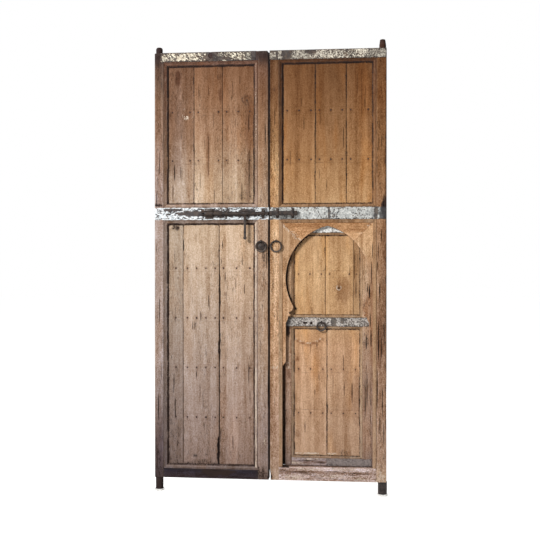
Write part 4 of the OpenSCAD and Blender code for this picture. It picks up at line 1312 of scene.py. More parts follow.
            wear = self.edge_wear * edge * (1.0 - ease(0.5 * self.arris, self.arris, depth))
            marks.lay(Mark.WEAR, wear * (0.3 + rough))
            bend = self.wander * noise.noise(Vector((s * 6.0, t * 3.2, self.seed + 9.0)))
            bend *= ease(0.0, 0.03, to_edge)
            for bite in self.bites:
                missing = bite.at(t) * (1.0 - ease(0.008, 0.022, co.y - low.y))
                if missing > 0.0:
                    distance = to_low if bite.side < 0 else to_high
                    bend -= bite.side * missing * (1.0 - ease(0.0, 3.0 * bite.depth, distance))
                    marks.lay(Mark.CRACK, 0.9 * (1.0 - ease(0.0, 0.006, distance)))
            # The side that faces the other leaf is painted dark: painted shade of the gap between the leaves.
            if self.hidden_side and (to_low if self.hidden_side < 0 else to_high) < 1.05 * self.arris:
                marks[Mark.CRACK] = 0.9 if front else 0.2
                marks.lay(Mark.GRIME, 0.5)
            co[across] += bend
            co.y += push
            marks[Mark.SHADE] = self.shade
            for mark, value in marks.items():
                vert[piece.layers[mark]] = min(1.0, max(0.0, value))


@dataclass(frozen=True)
class Tongue:
    """The loose tongue behind a board's joint."""

    board: Box
    seed: float
    overlap: Span = (0.02, 0.022)
    depth: Span = (-0.002, 0.004)
    end: float = 0.01

    def add_to(self, piece: Piece) -> None:
        """Builds the tongue.

        Args:
            piece: The piece that takes its mesh.
        """
        low, high, middle = self.board.low, self.board.high, self.board.middle.y
        box = self.board.reach(
            x=(high.x - self.overlap[0], high.x + self.overlap[1]),
            y=(middle + self.depth[0], middle + self.depth[1]), z=(low.z + self.end, high.z - self.end),
        )
        # The tongue is painted near-black: it stands for the shade that is seen through the joint.
        for vert in bmesh.ops.create_cube(piece.mesh, size=1.0, matrix=box.placing)["verts"]:
            vert[piece.layers[Mark.GRIME]] = 0.9
        piece.settle(self.seed)


@dataclass(frozen=True)
class MouldingStrip:
    """One mitred length of planted moulding."""

    box: Box
    outward: Vector
    seed: float
    step: float = 0.03
    mitres: tuple[bool, bool] = (True, True)
    grime: float = 0.9
    shade: float = 0.2
    shine: float = 0.3
    section: ClassVar[tuple[Span, ...]] = (
        (0.0, 0.0), (0.0, 0.93), (0.03, 0.98), (0.09, 1.0), (0.13, 1.0), (0.2, 1.0), (0.23, 0.96),
        (0.25, 0.86), (0.28, 0.86), (0.32, 0.84), (0.42, 0.74), (0.54, 0.65), (0.6, 0.6), (0.66, 0.57),
        (0.7, 0.56), (0.75, 0.55), (0.8, 0.54), (0.85, 0.52), (0.91, 0.45), (0.96, 0.3), (1.0, 0.12),
        (1.0, 0.0),
    )

    def add_to(self, piece: Piece) -> None:
        """Builds the strip from its section.

        Args:
            piece: The piece that takes its mesh.
        """
        run = 0 if abs(self.outward.z) > 0.5 else 2
        side = 2 - run
        width, depth = self.box.size[side], self.box.size.y
        sign = self.outward[side]
        edge = self.box.high[side] if sign > 0 else self.box.low[side]
        verts = []
        for w, d in self.section:
            co = Vector((0.0, self.box.high.y - d * depth, 0.0))
            co[side] = edge - sign * w * width
            co[run] = self.box.low[run] + (w * width if self.mitres[0] else 0.0)
            verts.append(piece.mesh.verts.new(co))
        cap = piece.mesh.faces.new(verts)
        made = bmesh.ops.extrude_face_region(piece.mesh, geom=[cap])["geom"]
        for vert in (g for g in made if isinstance(g, bmesh.types.BMVert)):
            inner = abs(vert.co[side] - edge)
            vert.co[run] = self.box.high[run] - (inner if self.mitres[1] else 0.0)
        half = 0.5 * self.box.size[run]
        long_edges = [e for e in piece.fresh_edges() if abs(e.verts[1].co[run] - e.verts[0].co[run]) > half]
        cuts = max(1, round(self.box.size[run] / self.step) - 1)
        bmesh.ops.subdivide_edges(piece.mesh, edges=long_edges, cuts=cuts, use_grid_fill=True)
        bmesh.ops.recalc_face_normals(piece.mesh, faces=piece.fresh_faces())
        for vert in piece.fresh():
            self._weather(piece, vert, vert.co[run], abs(vert.co[side] - edge) / width)
        piece.settle(self.seed)

    def _weather(self, piece: Piece, vert: bmesh.types.BMVert, t: float, share: float) -> None:
        """Wears one vertex, lays dirt and painted shade in the hollows and a painted highlight on the lit
        bead.

        Args:
            piece: The piece that holds the strip.
            vert: The vertex.
            t: Its place along the strip.
            share: Its place across the strip, from 0 at the outer edge to 1.
        """
        wave = noise.noise(Vector((t * 9.0, share * 3.0, self.seed)))
        chip = max(0.0, noise.noise(Vector((t * 38.0, share * 5.0, self.seed + 4.0))) - 0.25)
        if vert.co.y < self.box.high.y - 1e-4:
            vert.co.y += 0.0006 * wave + 0.004 * chip * (1.0 if share < 0.45 else 0.3)
        rough = 0.75 + 0.45 * noise.noise(Vector((t * 17.0, self.seed, 1.0)))
        # The strips facing away from the light get painted shade; the lit ones get a painted highlight on the
        # bead.
        lit = max(0.0, self.outward.x)
        shaded = min(1.0, max(0.0, self.outward.z) + max(0.0, -self.outward.x))
        start, strength = (0.62, 1.0) if shaded else (0.68, 0.85)
        # Dark foot, quirk and outer edge: dirt and painted shade, strongest on the shaded strips.
        foot = ease(start, start + 0.08, share) * strength
        quirk = ease(0.22, 0.24, share) * (1.0 - ease(0.28, 0.32, share))
        outer = 1.0 - ease(0.03, 0.1, share)
        bead = ease(0.3, 0.4, share) * (1.0 - ease(0.6, 0.68, share))
        bleached = lit + 0.3 * max(0.0, -self.outward.z)
        # Painted highlight on the lit bead, with real chips in the wear layer. Painted shade on the left and
        # top strips, which face away from the light, and a lighter darkening on the bottom strips.
        marks = {
            Mark.GRIME: self.grime * max(foot, 0.75 * quirk, 0.9 * outer) * rough,
            Mark.SCUFF: self.shine * bead * lit * (0.8 + 0.8 * wave),
            Mark.WEAR: self.shine * bead * bleached + chip,
            Mark.SHADE: self.shade * max(shaded, -0.7 * self.outward.z),
        }
        for mark, value in marks.items():
            vert[piece.layers[mark]] = min(1.0, value)


def frame_mouldings(
    boxes: list[Box], seed: float, grime: float, shine: float, shade: float = 0.2, upper_shade: float = 0.2,
) -> list[MouldingStrip]:
    """Finds how the four strips of each panel face.

    Args:
        boxes: The strips' boxes.
        seed: The number that starts their patterns.
        grime: The dirt and painted shade in their hollows.
        shine: The painted highlight along the bead of the lit strips.
        shade: The painted shade of the strips that face away from the light, on the lower panels.
        upper_shade: The same for the upper panels.

    Returns:
        One strip for each box.
    """
    strips = []
    for i, box in enumerate(boxes):
        side, run = (2, 0) if box.size.x > box.size.z else (0, 2)
        panel = [b for b in boxes if b.high.z > box.low.z - 0.01 and b.low.z < box.high.z + 0.01]
        middle = (min(b.low[side] for b in panel) + max(b.high[side] for b in panel)) / 2.0
        outward = Vector((0.0, 0.0, 0.0))
        outward[side] = 1.0 if box.middle[side] > middle else -1.0
        step = 0.012 if box.size[run] < 0.6 else 0.016
        bleach, dark = (0.45 * shine, upper_shade) if box.middle.z > MIDDLE_RAIL else (shine, shade)
        wear = {"grime": grime, "shade": dark, "shine": bleach}
        strips.append(MouldingStrip(box, outward, seed + 1.7 * i, step, **wear))
    return strips


@dataclass(frozen=True)
class NailSet:
    """Forged nails with hammered heads."""

    boxes: list[Box]
    head: float
    rise: float = 0.003
    shank: Span = (0.002, 0.0012)

    def add_to(self, piece: Piece) -> None:
        """Builds each nail with its own head.

        Args:
            piece: The piece that takes their mesh.
        """
        draw = random.Random(len(self.boxes))
        for box in self.boxes:
            x, z = box.middle.x, box.middle.z
            turn = Matrix.Rotation(draw.uniform(0.0, math.pi), 4, "Y") @ FACING
            squash = Matrix.Diagonal((draw.uniform(0.8, 1.1), draw.uniform(0.8, 1.1), 1.0, 1.0))
            tilt = Matrix.Rotation(draw.uniform(-0.15, 0.15), 4, "X")
            at = Matrix.Translation((x, box.low.y + self.rise / 2.0, z))
            verts = piece.cone(at @ tilt @ turn @ squash, 9, (self.head, self.head * 0.62), self.rise)
            tip = min(v.co.y for v in verts) + 0.001
            piece.bevel([e for e in piece.fresh_edges() if all(v.co.y < tip for v in e.verts)], 0.0008, 1)
            at = Matrix.Translation((x, (box.low.y + self.rise + box.high.y) / 2.0, z)) @ FACING
            piece.cone(at, 6, self.shank, box.size.y - self.rise)
            piece.settle(draw.uniform(0.0, 9.0))


@dataclass(frozen=True)
class Tear:
    """A hole or bare place in a tin sheet: its place and half sizes."""

    x: float
    z: float
    half_x: float
    half_z: float

    def reach(self, x: float, z: float) -> float:
        """How far a point lies from the middle, where 1 is the rim."""
        ragged = 0.4 * noise.noise(Vector((x * 90.0, z * 90.0, self.x * 7.0)))
        return math.hypot((x - self.x) / self.half_x, (z - self.z) / self.half_z) + ragged


@dataclass(frozen=True)
class TinSheet:
    """A nailed tin sheet with wrinkles, ragged edges, tears and bare places."""

    box: Box
    seed: float
    fray: float = 0.004
    wrinkle: float = 0.0012
    lip: float = 0.0
    lip_end: float = 0.6
    edge_bare: float = 0.12
    tears: tuple[Tear, ...] = ()
    bare: tuple[Tear, ...] = ()
    dirt: tuple[Patch, ...] = ()
    step: float = 0.005
    thickness: float = 0.0008
    tack_spacing: float = 0.055
    tack_margin: float = 0.008

    def add_to(self, piece: Piece) -> None:
        """Builds the sheet.

        Args:
            piece: The piece that takes its mesh.
        """
        size, middle = self.box.size, self.box.middle
        at = Matrix.Translation((middle.x, self.box.low.y + self.thickness, middle.z))
        at = at @ FACING @ Matrix.Diagonal((size.x / 2.0, size.z / 2.0, 1.0, 1.0))
        columns, rows = max(2, round(size.x / self.step)), max(2, round(size.z / self.step))
        bmesh.ops.create_grid(piece.mesh, x_segments=columns, y_segments=rows, size=1.0, matrix=at)
        torn = []
        for face in piece.fresh_faces():
            centre = face.calc_center_median()
            if any(t.reach(centre.x, centre.z) < 1.0 for t in self.tears):
                torn.append(face)
        bmesh.ops.delete(piece.mesh, geom=torn, context="FACES")
        for vert in piece.fresh():
            self._wrinkle(piece, vert)
        if self.lip:
            self._fold_lip(piece)
        bmesh.ops.solidify(piece.mesh, geom=piece.fresh_faces(), thickness=-self.thickness)
        bmesh.ops.recalc_face_normals(piece.mesh, faces=piece.fresh_faces())
        piece.settle(self.seed)

    def _wrinkle(self, piece: Piece, vert: bmesh.types.BMVert) -> None:
        """Dents the sheet at one vertex, frays its edge and lays down its bare places.

        Args:
            piece: The piece that holds the sheet.
            vert: The vertex.
        """
        low, high, middle = self.box.low, self.box.high, self.box.middle
        x, z = vert.co.x, vert.co.z
        dent = noise.noise(Vector((x * 21.0, z * 33.0, self.seed)))
        crease = noise.noise(Vector((x * 65.0 + z * 20.0, z * 80.0, self.seed + 3.0)))
        vert.co.y -= self.wrinkle * (0.5 + 0.5 * dent + 0.35 * crease) * 0.8
        if vert.is_boundary:
            cut = self.fray * max(0.0, noise.noise(Vector((x * 48.0, z * 48.0, self.seed + 6.0))) + 0.1)
            if min(abs(z - low.z), abs(z - high.z)) < 1e-4:
                vert.co.z += math.copysign(cut, middle.z - z) * (0.0 if self.lip and z > middle.z else 1.0)
            elif min(abs(x - low.x), abs(x - high.x)) < 1e-4:
                vert.co.x += math.copysign(cut, middle.x - x)
            else:
                vert.co.y -= 0.0015 * (0.5 + dent)
        bare = max((1.0 - ease(0.75, 1.1, b.reach(x, z)) for b in self.bare), default=0.0)
        edge = 1.0 - ease(0.0, 0.007, min(z - low.z, high.z - z, x - low.x, high.x - x))
        vert[piece.layers[Mark.BARE]] = 0.6 * bare + self.edge_bare * edge
        vert[piece.layers[Mark.GRIME]] = max((p.at(x, z) for p in self.dirt), default=0.0)

    def _fold_lip(self, piece: Piece) -> None:
        """Folds the sheet's upper edge back over the rail.

        Args:
            piece: The piece that holds the sheet.
        """
        top = [e for e in piece.fresh_edges() if e.is_boundary]
        top = [e for e in top if all(abs(v.co.z - self.box.high.z) < 1e-4 for v in e.verts)]
        top = [e for e in top if max(abs(v.co.x) for v in e.verts) < self.lip_end]
        made = bmesh.ops.extrude_edge_only(piece.mesh, edges=top)["geom"]
        for vert in (g for g in made if isinstance(g, bmesh.types.BMVert)):
            fray = self.fray * noise.noise(Vector((vert.co.x * 30.0, 1.0, self.seed)))
            vert.co.y = self.box.low.y + self.lip + fray
            vert.co.z += 0.0004

    def tacks(self) -> list[Vector]:
        """The places of the tacks along the sheet's edges."""
        draw = random.Random(round(self.seed * 100))
        low, high = self.box.low, self.box.high
        count = max(2, round(self.box.size.x / self.tack_spacing))
        places = []
        for row in (low.z + self.tack_margin, high.z - self.tack_margin):
            for i in range(count + 1):
                x = low.x + 0.012 + (self.box.size.x - 0.024) * i / count + draw.uniform(-0.008, 0.008)
                x = min(high.x - 0.006, max(low.x + 0.006, x))
                z = row + draw.uniform(-0.002, 0.002)
                if all(t.reach(x, z) > 1.4 for t in self.tears):
                    places.append(Vector((x, low.y - self.wrinkle, z)))
        return places


@dataclass(frozen=True)
class Tacks:
    """The small domed tacks along tin sheets."""

    sheets: list[TinSheet]
    sunk: float = 0.0008
    radii: Span = (0.0036, 0.0018)
    rise: float = 0.0024

    def add_to(self, piece: Piece) -> None:
        """Builds the tacks.

        Args:
            piece: The piece that takes their mesh.
        """
        for sheet in self.sheets:
            for place in sheet.tacks():
                at = Matrix.Translation(place + Vector((0.0, self.sunk, 0.0))) @ FACING
                piece.cone(at, 8, self.radii, self.rise)
                piece.settle(place.x)


@dataclass(frozen=True)
class Forging:
    """An iron piece that keeps its solid's form and gets softened edges and hammer marks."""

    frame: Frame
    node: str
    bevel: float
    hammer: float
    step: float = 0.0
    axis: int = 0

    def add_to(self, piece: Piece) -> None:
        """Builds the forging.

        Args:
            piece: The piece that takes its mesh.
        """
        piece.mesh.from_mesh(self.frame.nodes[self.node].data)
        bmesh.ops.remove_doubles(piece.mesh, verts=piece.mesh.verts, dist=1e-5)
        piece.soften(self.bevel)
        if self.step:
            low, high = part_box(self.node)
            count = int((high[self.axis] - low[self.axis]) / self.step)
            piece.slice(self.axis, [low[self.axis] + self.step * (i + 0.5) for i in range(count)])
        for vert in piece.fresh():
            vert.co += vert.normal * self.hammer * noise.noise(vert.co * 85.0)
            vert[piece.layers[Mark.WEAR]] = 0.5 * max(0.0, noise.noise(vert.co * 40.0))
        piece.settle(1.0)


@dataclass(frozen=True)
class Ring:
    """A forged ring that hangs in its eye."""

    box: Box
    hammer: float = 0.0005

    def add_to(self, piece: Piece) -> None:
        """Builds the ring.

        Args:
            piece: The piece that takes its mesh.
        """
        mesh, centre = piece.mesh, self.box.middle
        wire = self.box.size.y / 2.0
        path = self.box.size.x / 2.0 - wire
        at = Matrix.Translation(centre + Vector((path, 0.0, 0.0)))
        bmesh.ops.create_circle(mesh, cap_ends=False, segments=14, radius=wire, matrix=at)
        bmesh.ops.spin(
            mesh, geom=[*mesh.verts, *mesh.edges], cent=centre, axis=(0.0, 1.0, 0.0), dvec=(0.0, 0.0, 0.0),
            angle=math.tau, steps=56, use_merge=True, use_normal_flip=False, use_duplicate=False,
        )
        bmesh.ops.remove_doubles(mesh, verts=mesh.verts, dist=1e-5)
        bmesh.ops.recalc_face_normals(mesh, faces=mesh.faces)
        for vert in mesh.verts:
            out = vert.co - centre
            radial = (out - Vector((out.x, 0.0, out.z)).normalized() * path).normalized()
            vert.co += radial * self.hammer * noise.noise(vert.co * 70.0)
            vert[piece.layers[Mark.WEAR]] = 0.7 * ease(0.2, 0.8, 0.5 - 0.5 * out.z / path)
        piece.settle(2.0)


@dataclass(frozen=True)
class Rod:
    """A plain round rod that stands upright."""

    middle: Vector
    length: float
    radius: float
    segments: int
    seed: float

    def add_to(self, piece: Piece) -> None:
        """Builds the rod."""
        piece.cone(Matrix.Translation(self.middle), self.segments, (self.radius, self.radius), self.length)
        piece.settle(self.seed)


@dataclass(frozen=True)
class Pin:
    """A worn round pivot, whose free end is the one further from the door's middle."""

    axis: float
    ends: Span
    radius: float
    tip_radius: float
    rounding: float
    seed: float
    step: float = 0.008

    def add_to(self, piece: Piece) -> None:
        """Builds the pivot.

        Args:
            piece: The piece that takes its mesh.
        """
        low, high = self.ends
        middle = Vector((self.axis, 0.0, (low + high) / 2.0))
        upper = middle.z > DOOR_TOP / 2.0
        radii = (self.radius, self.tip_radius) if upper else (self.tip_radius, self.radius)
        piece.cone(Matrix.Translation(middle), 36, radii, high - low)
        tip = high if upper else low
        rim = [e for e in piece.fresh_edges() if all(abs(v.co.z - tip) < 1e-5 for v in e.verts)]
        piece.bevel(rim, self.rounding, 4)
        count = max(2, int((high - low) / self.step))
        piece.slice(2, [low + (high - low) * i / count for i in range(1, count)])
        for vert in piece.fresh():
            out = Vector((vert.co.x - middle.x, vert.co.y, 0.0))
            if out.length > 1e-4:
                worn = noise.noise(Vector((vert.co.x * 60.0, vert.co.y * 60.0, vert.co.z * 18.0)))
                vert.co -= out.normalized() * (0.0006 + 0.0008 * worn)
            vert[piece.layers[Mark.GRIME]] = 0.35
        piece.settle(self.seed)


LEFT_BOTTOM_RAIL: tuple[Patch, ...] = (
    grime(-0.3, 0.12, 0.14, 0.03, 0.7), grime(-0.33, 0.15, 0.4, 0.012, 0.8),
    scuff(-0.13, 0.1, 0.08, 0.02, 0.12), scuff(-0.5, 0.105, 0.12, 0.02, 0.1),
)
RIGHT_BOTTOM_RAIL: tuple[Patch, ...] = (
    grime(0.085, 0.16, 0.045, 0.005, 1.0), scuff(0.22, 0.148, 0.1, 0.006, 0.55),
    scuff(0.42, 0.15, 0.14, 0.005, 0.5), scuff(0.14, 0.1, 0.07, 0.02, 0.45),
    scuff(0.36, 0.11, 0.1, 0.012, 0.4), scuff(0.52, 0.1, 0.09, 0.012, 0.4),
    grime(0.17, 0.13, 0.11, 0.008, 0.45), grime(0.38, 0.135, 0.13, 0.006, 0.42),
    grime(0.27, 0.096, 0.07, 0.01, 0.38), grime(0.47, 0.09, 0.1, 0.008, 0.38),
    grime(0.55, 0.128, 0.06, 0.007, 0.42),
)
WICKET_BOTTOM_RAIL: tuple[Patch, ...] = (
    scuff(0.16, 0.175, 0.06, 0.008, 0.55), scuff(0.25, 0.2, 0.07, 0.006, 0.5),
    grime(0.2, 0.19, 0.09, 0.006, 0.5), grime(0.3, 0.182, 0.04, 0.01, 0.45),
)
LEFT_BOARDS: dict[str, dict] = {
    "left_upper_board_1": dict(
        edge_grime=0.5, knots=(Knot(-0.13, 2.272, 0.024, 1.0), Knot(-0.112, 1.95, 0.012, 0.8)),
        cracks=(
            Crack(-0.119, 2.09, 2.19), Crack(-0.117, 1.74, 1.99, 0.0045), Crack(-0.16, 1.69, 1.79, 0.004),
        ),
        patches=(
            grime(-0.14, 1.72, 0.05, 0.045, 0.4), grime(-0.235, 1.71, 0.03, 0.05, 0.35),
            grime(-0.13, 2.272, 0.045, 0.045, 0.34), stain(-0.115, 2.1, 0.03, 0.2, 0.45),
            stain(-0.12, 1.82, 0.025, 0.2, 0.5),
        ),
    ),
    "left_upper_board_2": dict(
        edge_grime=0.5, knots=(Knot(-0.3, 2.405, 0.009, 0.9),),
        cracks=(Crack(-0.356, 1.84, 2.07, 0.0025, 0.003, 0.45), Crack(-0.322, 1.68, 1.76, 0.004)),
        patches=(stain(-0.285, 2.3, 0.014, 0.05, 0.6), stain(-0.36, 1.95, 0.012, 0.15, 0.5)),
    ),
    "left_upper_board_3": dict(
        shade=0.12, knots=(Knot(-0.545, 1.985, 0.022, 0.55),),
        cracks=(
            Crack(-0.555, 1.81, 1.9, 0.006), Crack(-0.518, 1.83, 1.89, 0.004),
            Crack(-0.565, 1.7, 1.78, 0.003),
        ),
        patches=(
            stain(-0.535, 2.4, 0.02, 0.06, 0.75), stain(-0.545, 2.15, 0.05, 0.2, 0.3),
            Arc(Mark.SCUFF, -0.476, 2.2, 0.035, 0.005, 3.1, 0.45), scuff(-0.487, 2.172, 0.016, 0.016, 0.6),
            stain(-0.55, 1.93, 0.05, 0.13, 0.4),
        ),
    ),
    "left_lower_board_1": dict(
        cracks=(
            Crack(-0.273, 1.415, 1.45), Crack(-0.281, 1.335, 1.355, 0.004),
            Crack(-0.157, 1.32, 1.37, 0.004), Crack(-0.258, 1.235, 1.27, 0.004),
            Crack(-0.196, 1.19, 1.235, 0.004), Crack(-0.146, 1.155, 1.2, 0.004),
            Crack(-0.284, 0.3, 0.36, 0.004), Crack(-0.213, 0.255, 0.325, 0.005),
            Crack(-0.12, 0.64, 0.75, 0.005),
        ),
        bites=(Bite(-1, 1.06, 1.26, 0.007), Bite(-1, 0.76, 0.97, 0.006), Bite(-1, 0.2, 1.36, 0.002)),
        knots=(Knot(-0.258, 1.15, 0.008, 0.8),),
    ),
    "left_lower_board_2": dict(
        cracks=(
            Crack(-0.355, 1.08, 1.135, 0.005), Crack(-0.401, 1.0, 1.04, 0.006),
            Crack(-0.436, 0.95, 0.985, 0.005), Crack(-0.428, 0.665, 0.7, 0.004),
            Crack(-0.448, 0.945, 0.98, 0.004),
        ),
        bites=(Bite(1, 0.15, 0.32, 0.012), Bite(-1, 1.4, 1.47, 0.004), Bite(1, 0.8, 0.88, 0.004)),
        shade=0.2, edge_grime=0.6, knots=(Knot(-0.493, 1.375, 0.007, 0.8),),
        patches=(Patch(Mark.CRACK, -0.435, 0.208, 0.018, 0.008, 0.8), grime(-0.4, 0.16, 0.12, 0.03, 0.5)),
    ),
    "left_lower_board_3": dict(
        shade=0.4, edge_grime=0.5,
        cracks=(Crack(-0.553, 0.43, 0.545, 0.007), Crack(-0.562, 0.58, 0.65, 0.004)),
        patches=(grime(-0.57, 0.3, 0.06, 0.2, 0.35), grime(-0.55, 1.535, 0.03, 0.02, 0.7)),
    ),
}
RIGHT_BOARDS: dict[str, dict] = {
    "right_upper_board_1": dict(cracks=(Crack(0.12, 1.9, 1.97, 0.003), Crack(0.2, 2.1, 2.16, 0.003))),
    "right_upper_board_2": dict(
        shade=0.1, cracks=(Crack(0.425, 2.0, 2.1, 0.004), Crack(0.33, 1.75, 1.8, 0.003)),
    ),
    "right_upper_board_3": dict(
        cracks=(
            Crack(0.53, 2.18, 2.44, 0.0025, 0.002, 0.4), Crack(0.552, 2.2, 2.34, 0.0025, 0.002, 0.4),
            Crack(0.505, 2.3, 2.42, 0.0025, 0.002, 0.35),
        ),
        patches=(stain(0.54, 2.3, 0.04, 0.2, 0.12),),
    ),
}
WICKET_BOARDS: dict[str, tuple[dict, ...]] = {
    "wicket_upper_boards": (
        dict(cracks=(Crack(0.245, 1.0, 1.06, 0.003),)),
        dict(
            knots=(Knot(0.4, 1.186, 0.011, 1.0),), edge_grime=0.3,
            patches=(
                stain(0.425, 1.17, 0.055, 0.09, 0.5), Arc(Mark.SCUFF, 0.4, 1.188, 0.013, 0.004, 3.2, 0.7),
                Patch(Mark.CRACK, 0.4, 1.186, 0.007, 0.007, 0.8),
            ),
        ),
        dict(
            edge_grime=0.15, shade=0.17,
            cracks=(Crack(0.498, 1.13, 1.22, 0.005), Crack(0.49, 1.24, 1.4, 0.004)),
            patches=(stain(0.5, 1.28, 0.03, 0.2, 0.45),),
        ),
    ),
    "wicket_lower_boards": (
        dict(
            cracks=(
                Crack(0.274, 0.84, 0.88, 0.004), Crack(0.262, 0.57, 0.6, 0.004),
                Crack(0.285, 0.66, 0.69, 0.003), Crack(0.205, 0.36, 0.41, 0.004),
            ),
            patches=(
                stain(0.161, 0.775, 0.012, 0.014, 0.8),
                Arc(Mark.SCUFF, 0.225, 0.998, 0.127, 0.006, 0.75, 0.6),
                Arc(Mark.STAIN, 0.225, 0.998, 0.134, 0.005, 0.75, 0.9),
                Arc(Mark.STAIN, 0.225, 0.985, 0.128, 0.004, 0.5, 0.5), scuff(0.25, 0.234, 0.06, 0.007, 0.8),
                scuff(0.19, 0.232, 0.05, 0.005, 0.6), stain(0.165, 0.34, 0.02, 0.03, 0.4),
            ),
        ),
        dict(
            shade=0.08,
            cracks=(
                Crack(0.475, 0.53, 0.64, 0.006), Crack(0.43, 0.57, 0.64, 0.004),
                Crack(0.425, 0.72, 0.8, 0.003), Crack(0.515, 0.4, 0.66, 0.004),
            ),
            patches=(
                stain(0.5, 0.55, 0.04, 0.15, 0.35), scuff(0.36, 0.232, 0.04, 0.005, 0.7),
                grime(0.43, 0.235, 0.05, 0.03, 0.35),
            ),
        ),
    ),
}
ARCH_CRACKS: dict[str, tuple[Crack, ...]] = {
    "arch_right_jamb": (
        Crack(0.574, 1.13, 1.2, 0.009), Crack(0.585, 1.22, 1.34, 0.004), Crack(0.598, 0.98, 1.2, 0.005),
        Crack(0.583, 0.85, 0.95, 0.007), Crack(0.596, 0.52, 0.8, 0.006), Crack(0.604, 0.3, 0.56, 0.005),
        Crack(0.578, 0.96, 1.04, 0.005), Crack(0.603, 0.84, 0.97, 0.007), Crack(0.591, 1.36, 1.44, 0.003),
    ),
    "arch_left_jamb": (Crack(0.092, 0.42, 0.62, 0.004), Crack(0.07, 0.98, 1.2, 0.003)),
}


@dataclass
class Assembly:
    """A part of the door whose pieces ride on one body."""

    frame: Frame
    library: Library
    body: str

    def make(
        self, name: str, finish: Finish, replaces: tuple[str, ...], shapes: Iterable[Shape], body: str = "",
    ) -> None:
        """Builds one piece.

        Args:
            name: The piece's name.
            finish: Its finish.
            replaces: The nodes that it stands for.
            shapes: The shapes that it consists of.
            body: The body that it rides on, if it isn't the assembly's own.
        """
        piece = Piece(name, body or self.body, finish, replaces)
        for shape in shapes:
            shape.add_to(piece)
        piece.close(self.library)

    def forge(self, node: str, finish: IronFinish, body: str, *sizes: float) -> None:
        """Builds one forged piece.

        Args:
            node: The solid that gives its form.
            finish: Its finish.
            body: The body that it rides on.
            *sizes: Its rounding, the depth of its hammer marks, and the step and axis of its loops.
        """
        self.make(f"{node}_iron", finish, (node,), [Forging(self.frame, node, *sizes)], body)


@dataclass
class Leaf(Assembly, ABC):
    """A panelled door: posts, rails, boards, mouldings, battens, nails and tin.

    The strip settings give its mouldings' first seed, their dirt and painted shade in the hollows, their
    painted highlight and their painted shades.
    """

    side: str
    moulding_node: str
    moulding_finish: WoodFinish
    strip_wear: tuple[float, ...]
    rail_finish: WoodFinish
    rail_seed: float
    batten_seed: float
    board_seed: float
    seed_step: float
    splits: int
    nail_head: float
    board_lap: ClassVar[float] = 0.019
    rail_wear: ClassVar[dict[str, float]] = {}
    batten_wear: ClassVar[dict[str, float]] = {
        "across_step": 0.015, "along_step": 0.03, "splits": 2, "edge_wear": 0.4,
    }
    board_wear: ClassVar[dict[str, float]] = {
        "edge_grime": 0.75, "edge_reach": 0.003, "edge_wear": 0.1, "arris": 0.001, "across_step": 0.0065,
        "along_step": 0.012,
    }

    def build(self) -> None:
        """Builds every piece in order."""
        self.nails = self.frame.solids(f"{self.side}_nails")
        self.strips = self.frame.solids(self.moulding_node)
        self._posts()
        self._rails()
        self._boards()
        self._fittings()
        self._tin()

    @abstractmethod
    def _posts(self) -> None:
        """Builds the upright timbers."""

    @abstractmethod
    def _boards(self) -> None:
        """Builds the boards of the panels."""

    @abstractmethod
    def _tin(self) -> None:
        """Builds the tin sheets on the rails."""

    @abstractmethod
    def _rail_ends(self) -> Span:
        """The places where the rails meet the posts."""

    @abstractmethod
    def _rail_marks(self) -> dict[str, tuple]:
        """The marks on the rails, by the rail's place."""

    def _rails(self) -> None:
        """Builds the three rails between the posts."""
        for i, place in enumerate(("top", "mid", "bottom")):
            name = f"{self.side}_{place}_rail"
            wood = Box.of_node(name).reach(x=self._rail_ends())
            marks = self._rail_marks().get(place, ())
            rail = Timber(wood, Grain.LEVEL, self.rail_seed + i, patches=marks, **self.rail_wear)
            self.make(f"{name}_wood", self.rail_finish, (name,), [rail])

    def _plank(self, box: Box, seed: float, own: dict, dirt: float = 1.0) -> list[Shape]:
        """Makes one board and the tongue behind its joint.

        Args:
            box: The board's box.
            seed: The number that shifts its pattern.
            own: Its own splits, knots, patches and eaten edges.
            dirt: The darkness of the painted shadow and dirt along the panel's edges.

        Returns:
            The board and its tongue.
        """
        nails = [(b.middle.x, b.middle.z) for b in self.nails]
        nails = tuple(n for n in nails if box.holds(*n))
        rows = sorted({round(z, 4) for _, z in nails})
        # Painted shadow and dirt along the panel's sunk edges.
        recess = Recess.around(self.strips, box.middle.z, dirt)
        values = self.board_wear | own | {"nails": nails, "loops": recess.loops()}
        values["lines"] = tuple(z + d for z in rows for d in (-self.board_lap, self.board_lap))
        values["patches"] = (*own.get("patches", ()), recess)
        return [Timber(box, Grain.UPRIGHT, seed, splits=self.splits, **values), Tongue(box, seed)]

    def _fittings(self) -> None:
        """Builds the mouldings, the battens behind the boards and the nails."""
        name, battens, nails = self.moulding_node, f"{self.side}_battens", f"{self.side}_nails"
        strips = frame_mouldings(self.strips, *self.strip_wear)
        self.make(name.replace("moulding", "moulding_frame"), self.moulding_finish, (name,), strips)
        boxes = enumerate(self.frame.solids(battens))
        timbers = [Timber(box, Grain.LEVEL, self.batten_seed + i, **self.batten_wear) for i, box in boxes]
        self.make(f"{self.side}_back_battens", BATTEN, (battens,), timbers)
        self.make(f"{self.side}_nail_heads", NAIL_IRON, (nails,), [NailSet(self.nails, self.nail_head)])

    def _sheets(self, rows: list[tuple[str, str, TinFinish, TinSheet]]) -> None:
        """Builds tin sheets and the tacks that hold them.

        Args:
            rows: The name, node and finish of each sheet, and the sheet.
        """
        for name, node, finish, sheet in rows:
            self.make(f"{name}_sheet", finish, (node,), [sheet])
        self.make(f"{self.side}_tin_tacks", NAIL_IRON, (), [Tacks([row[-1] for row in rows])])


def under_lip(node: str) -> Box:
    """The flat part of a tin sheet whose upper edge is folded back."""
    box = Box.of_node(node)
    return box.reach(z=(box.low.z, box.high.z - FOLD_RISE))


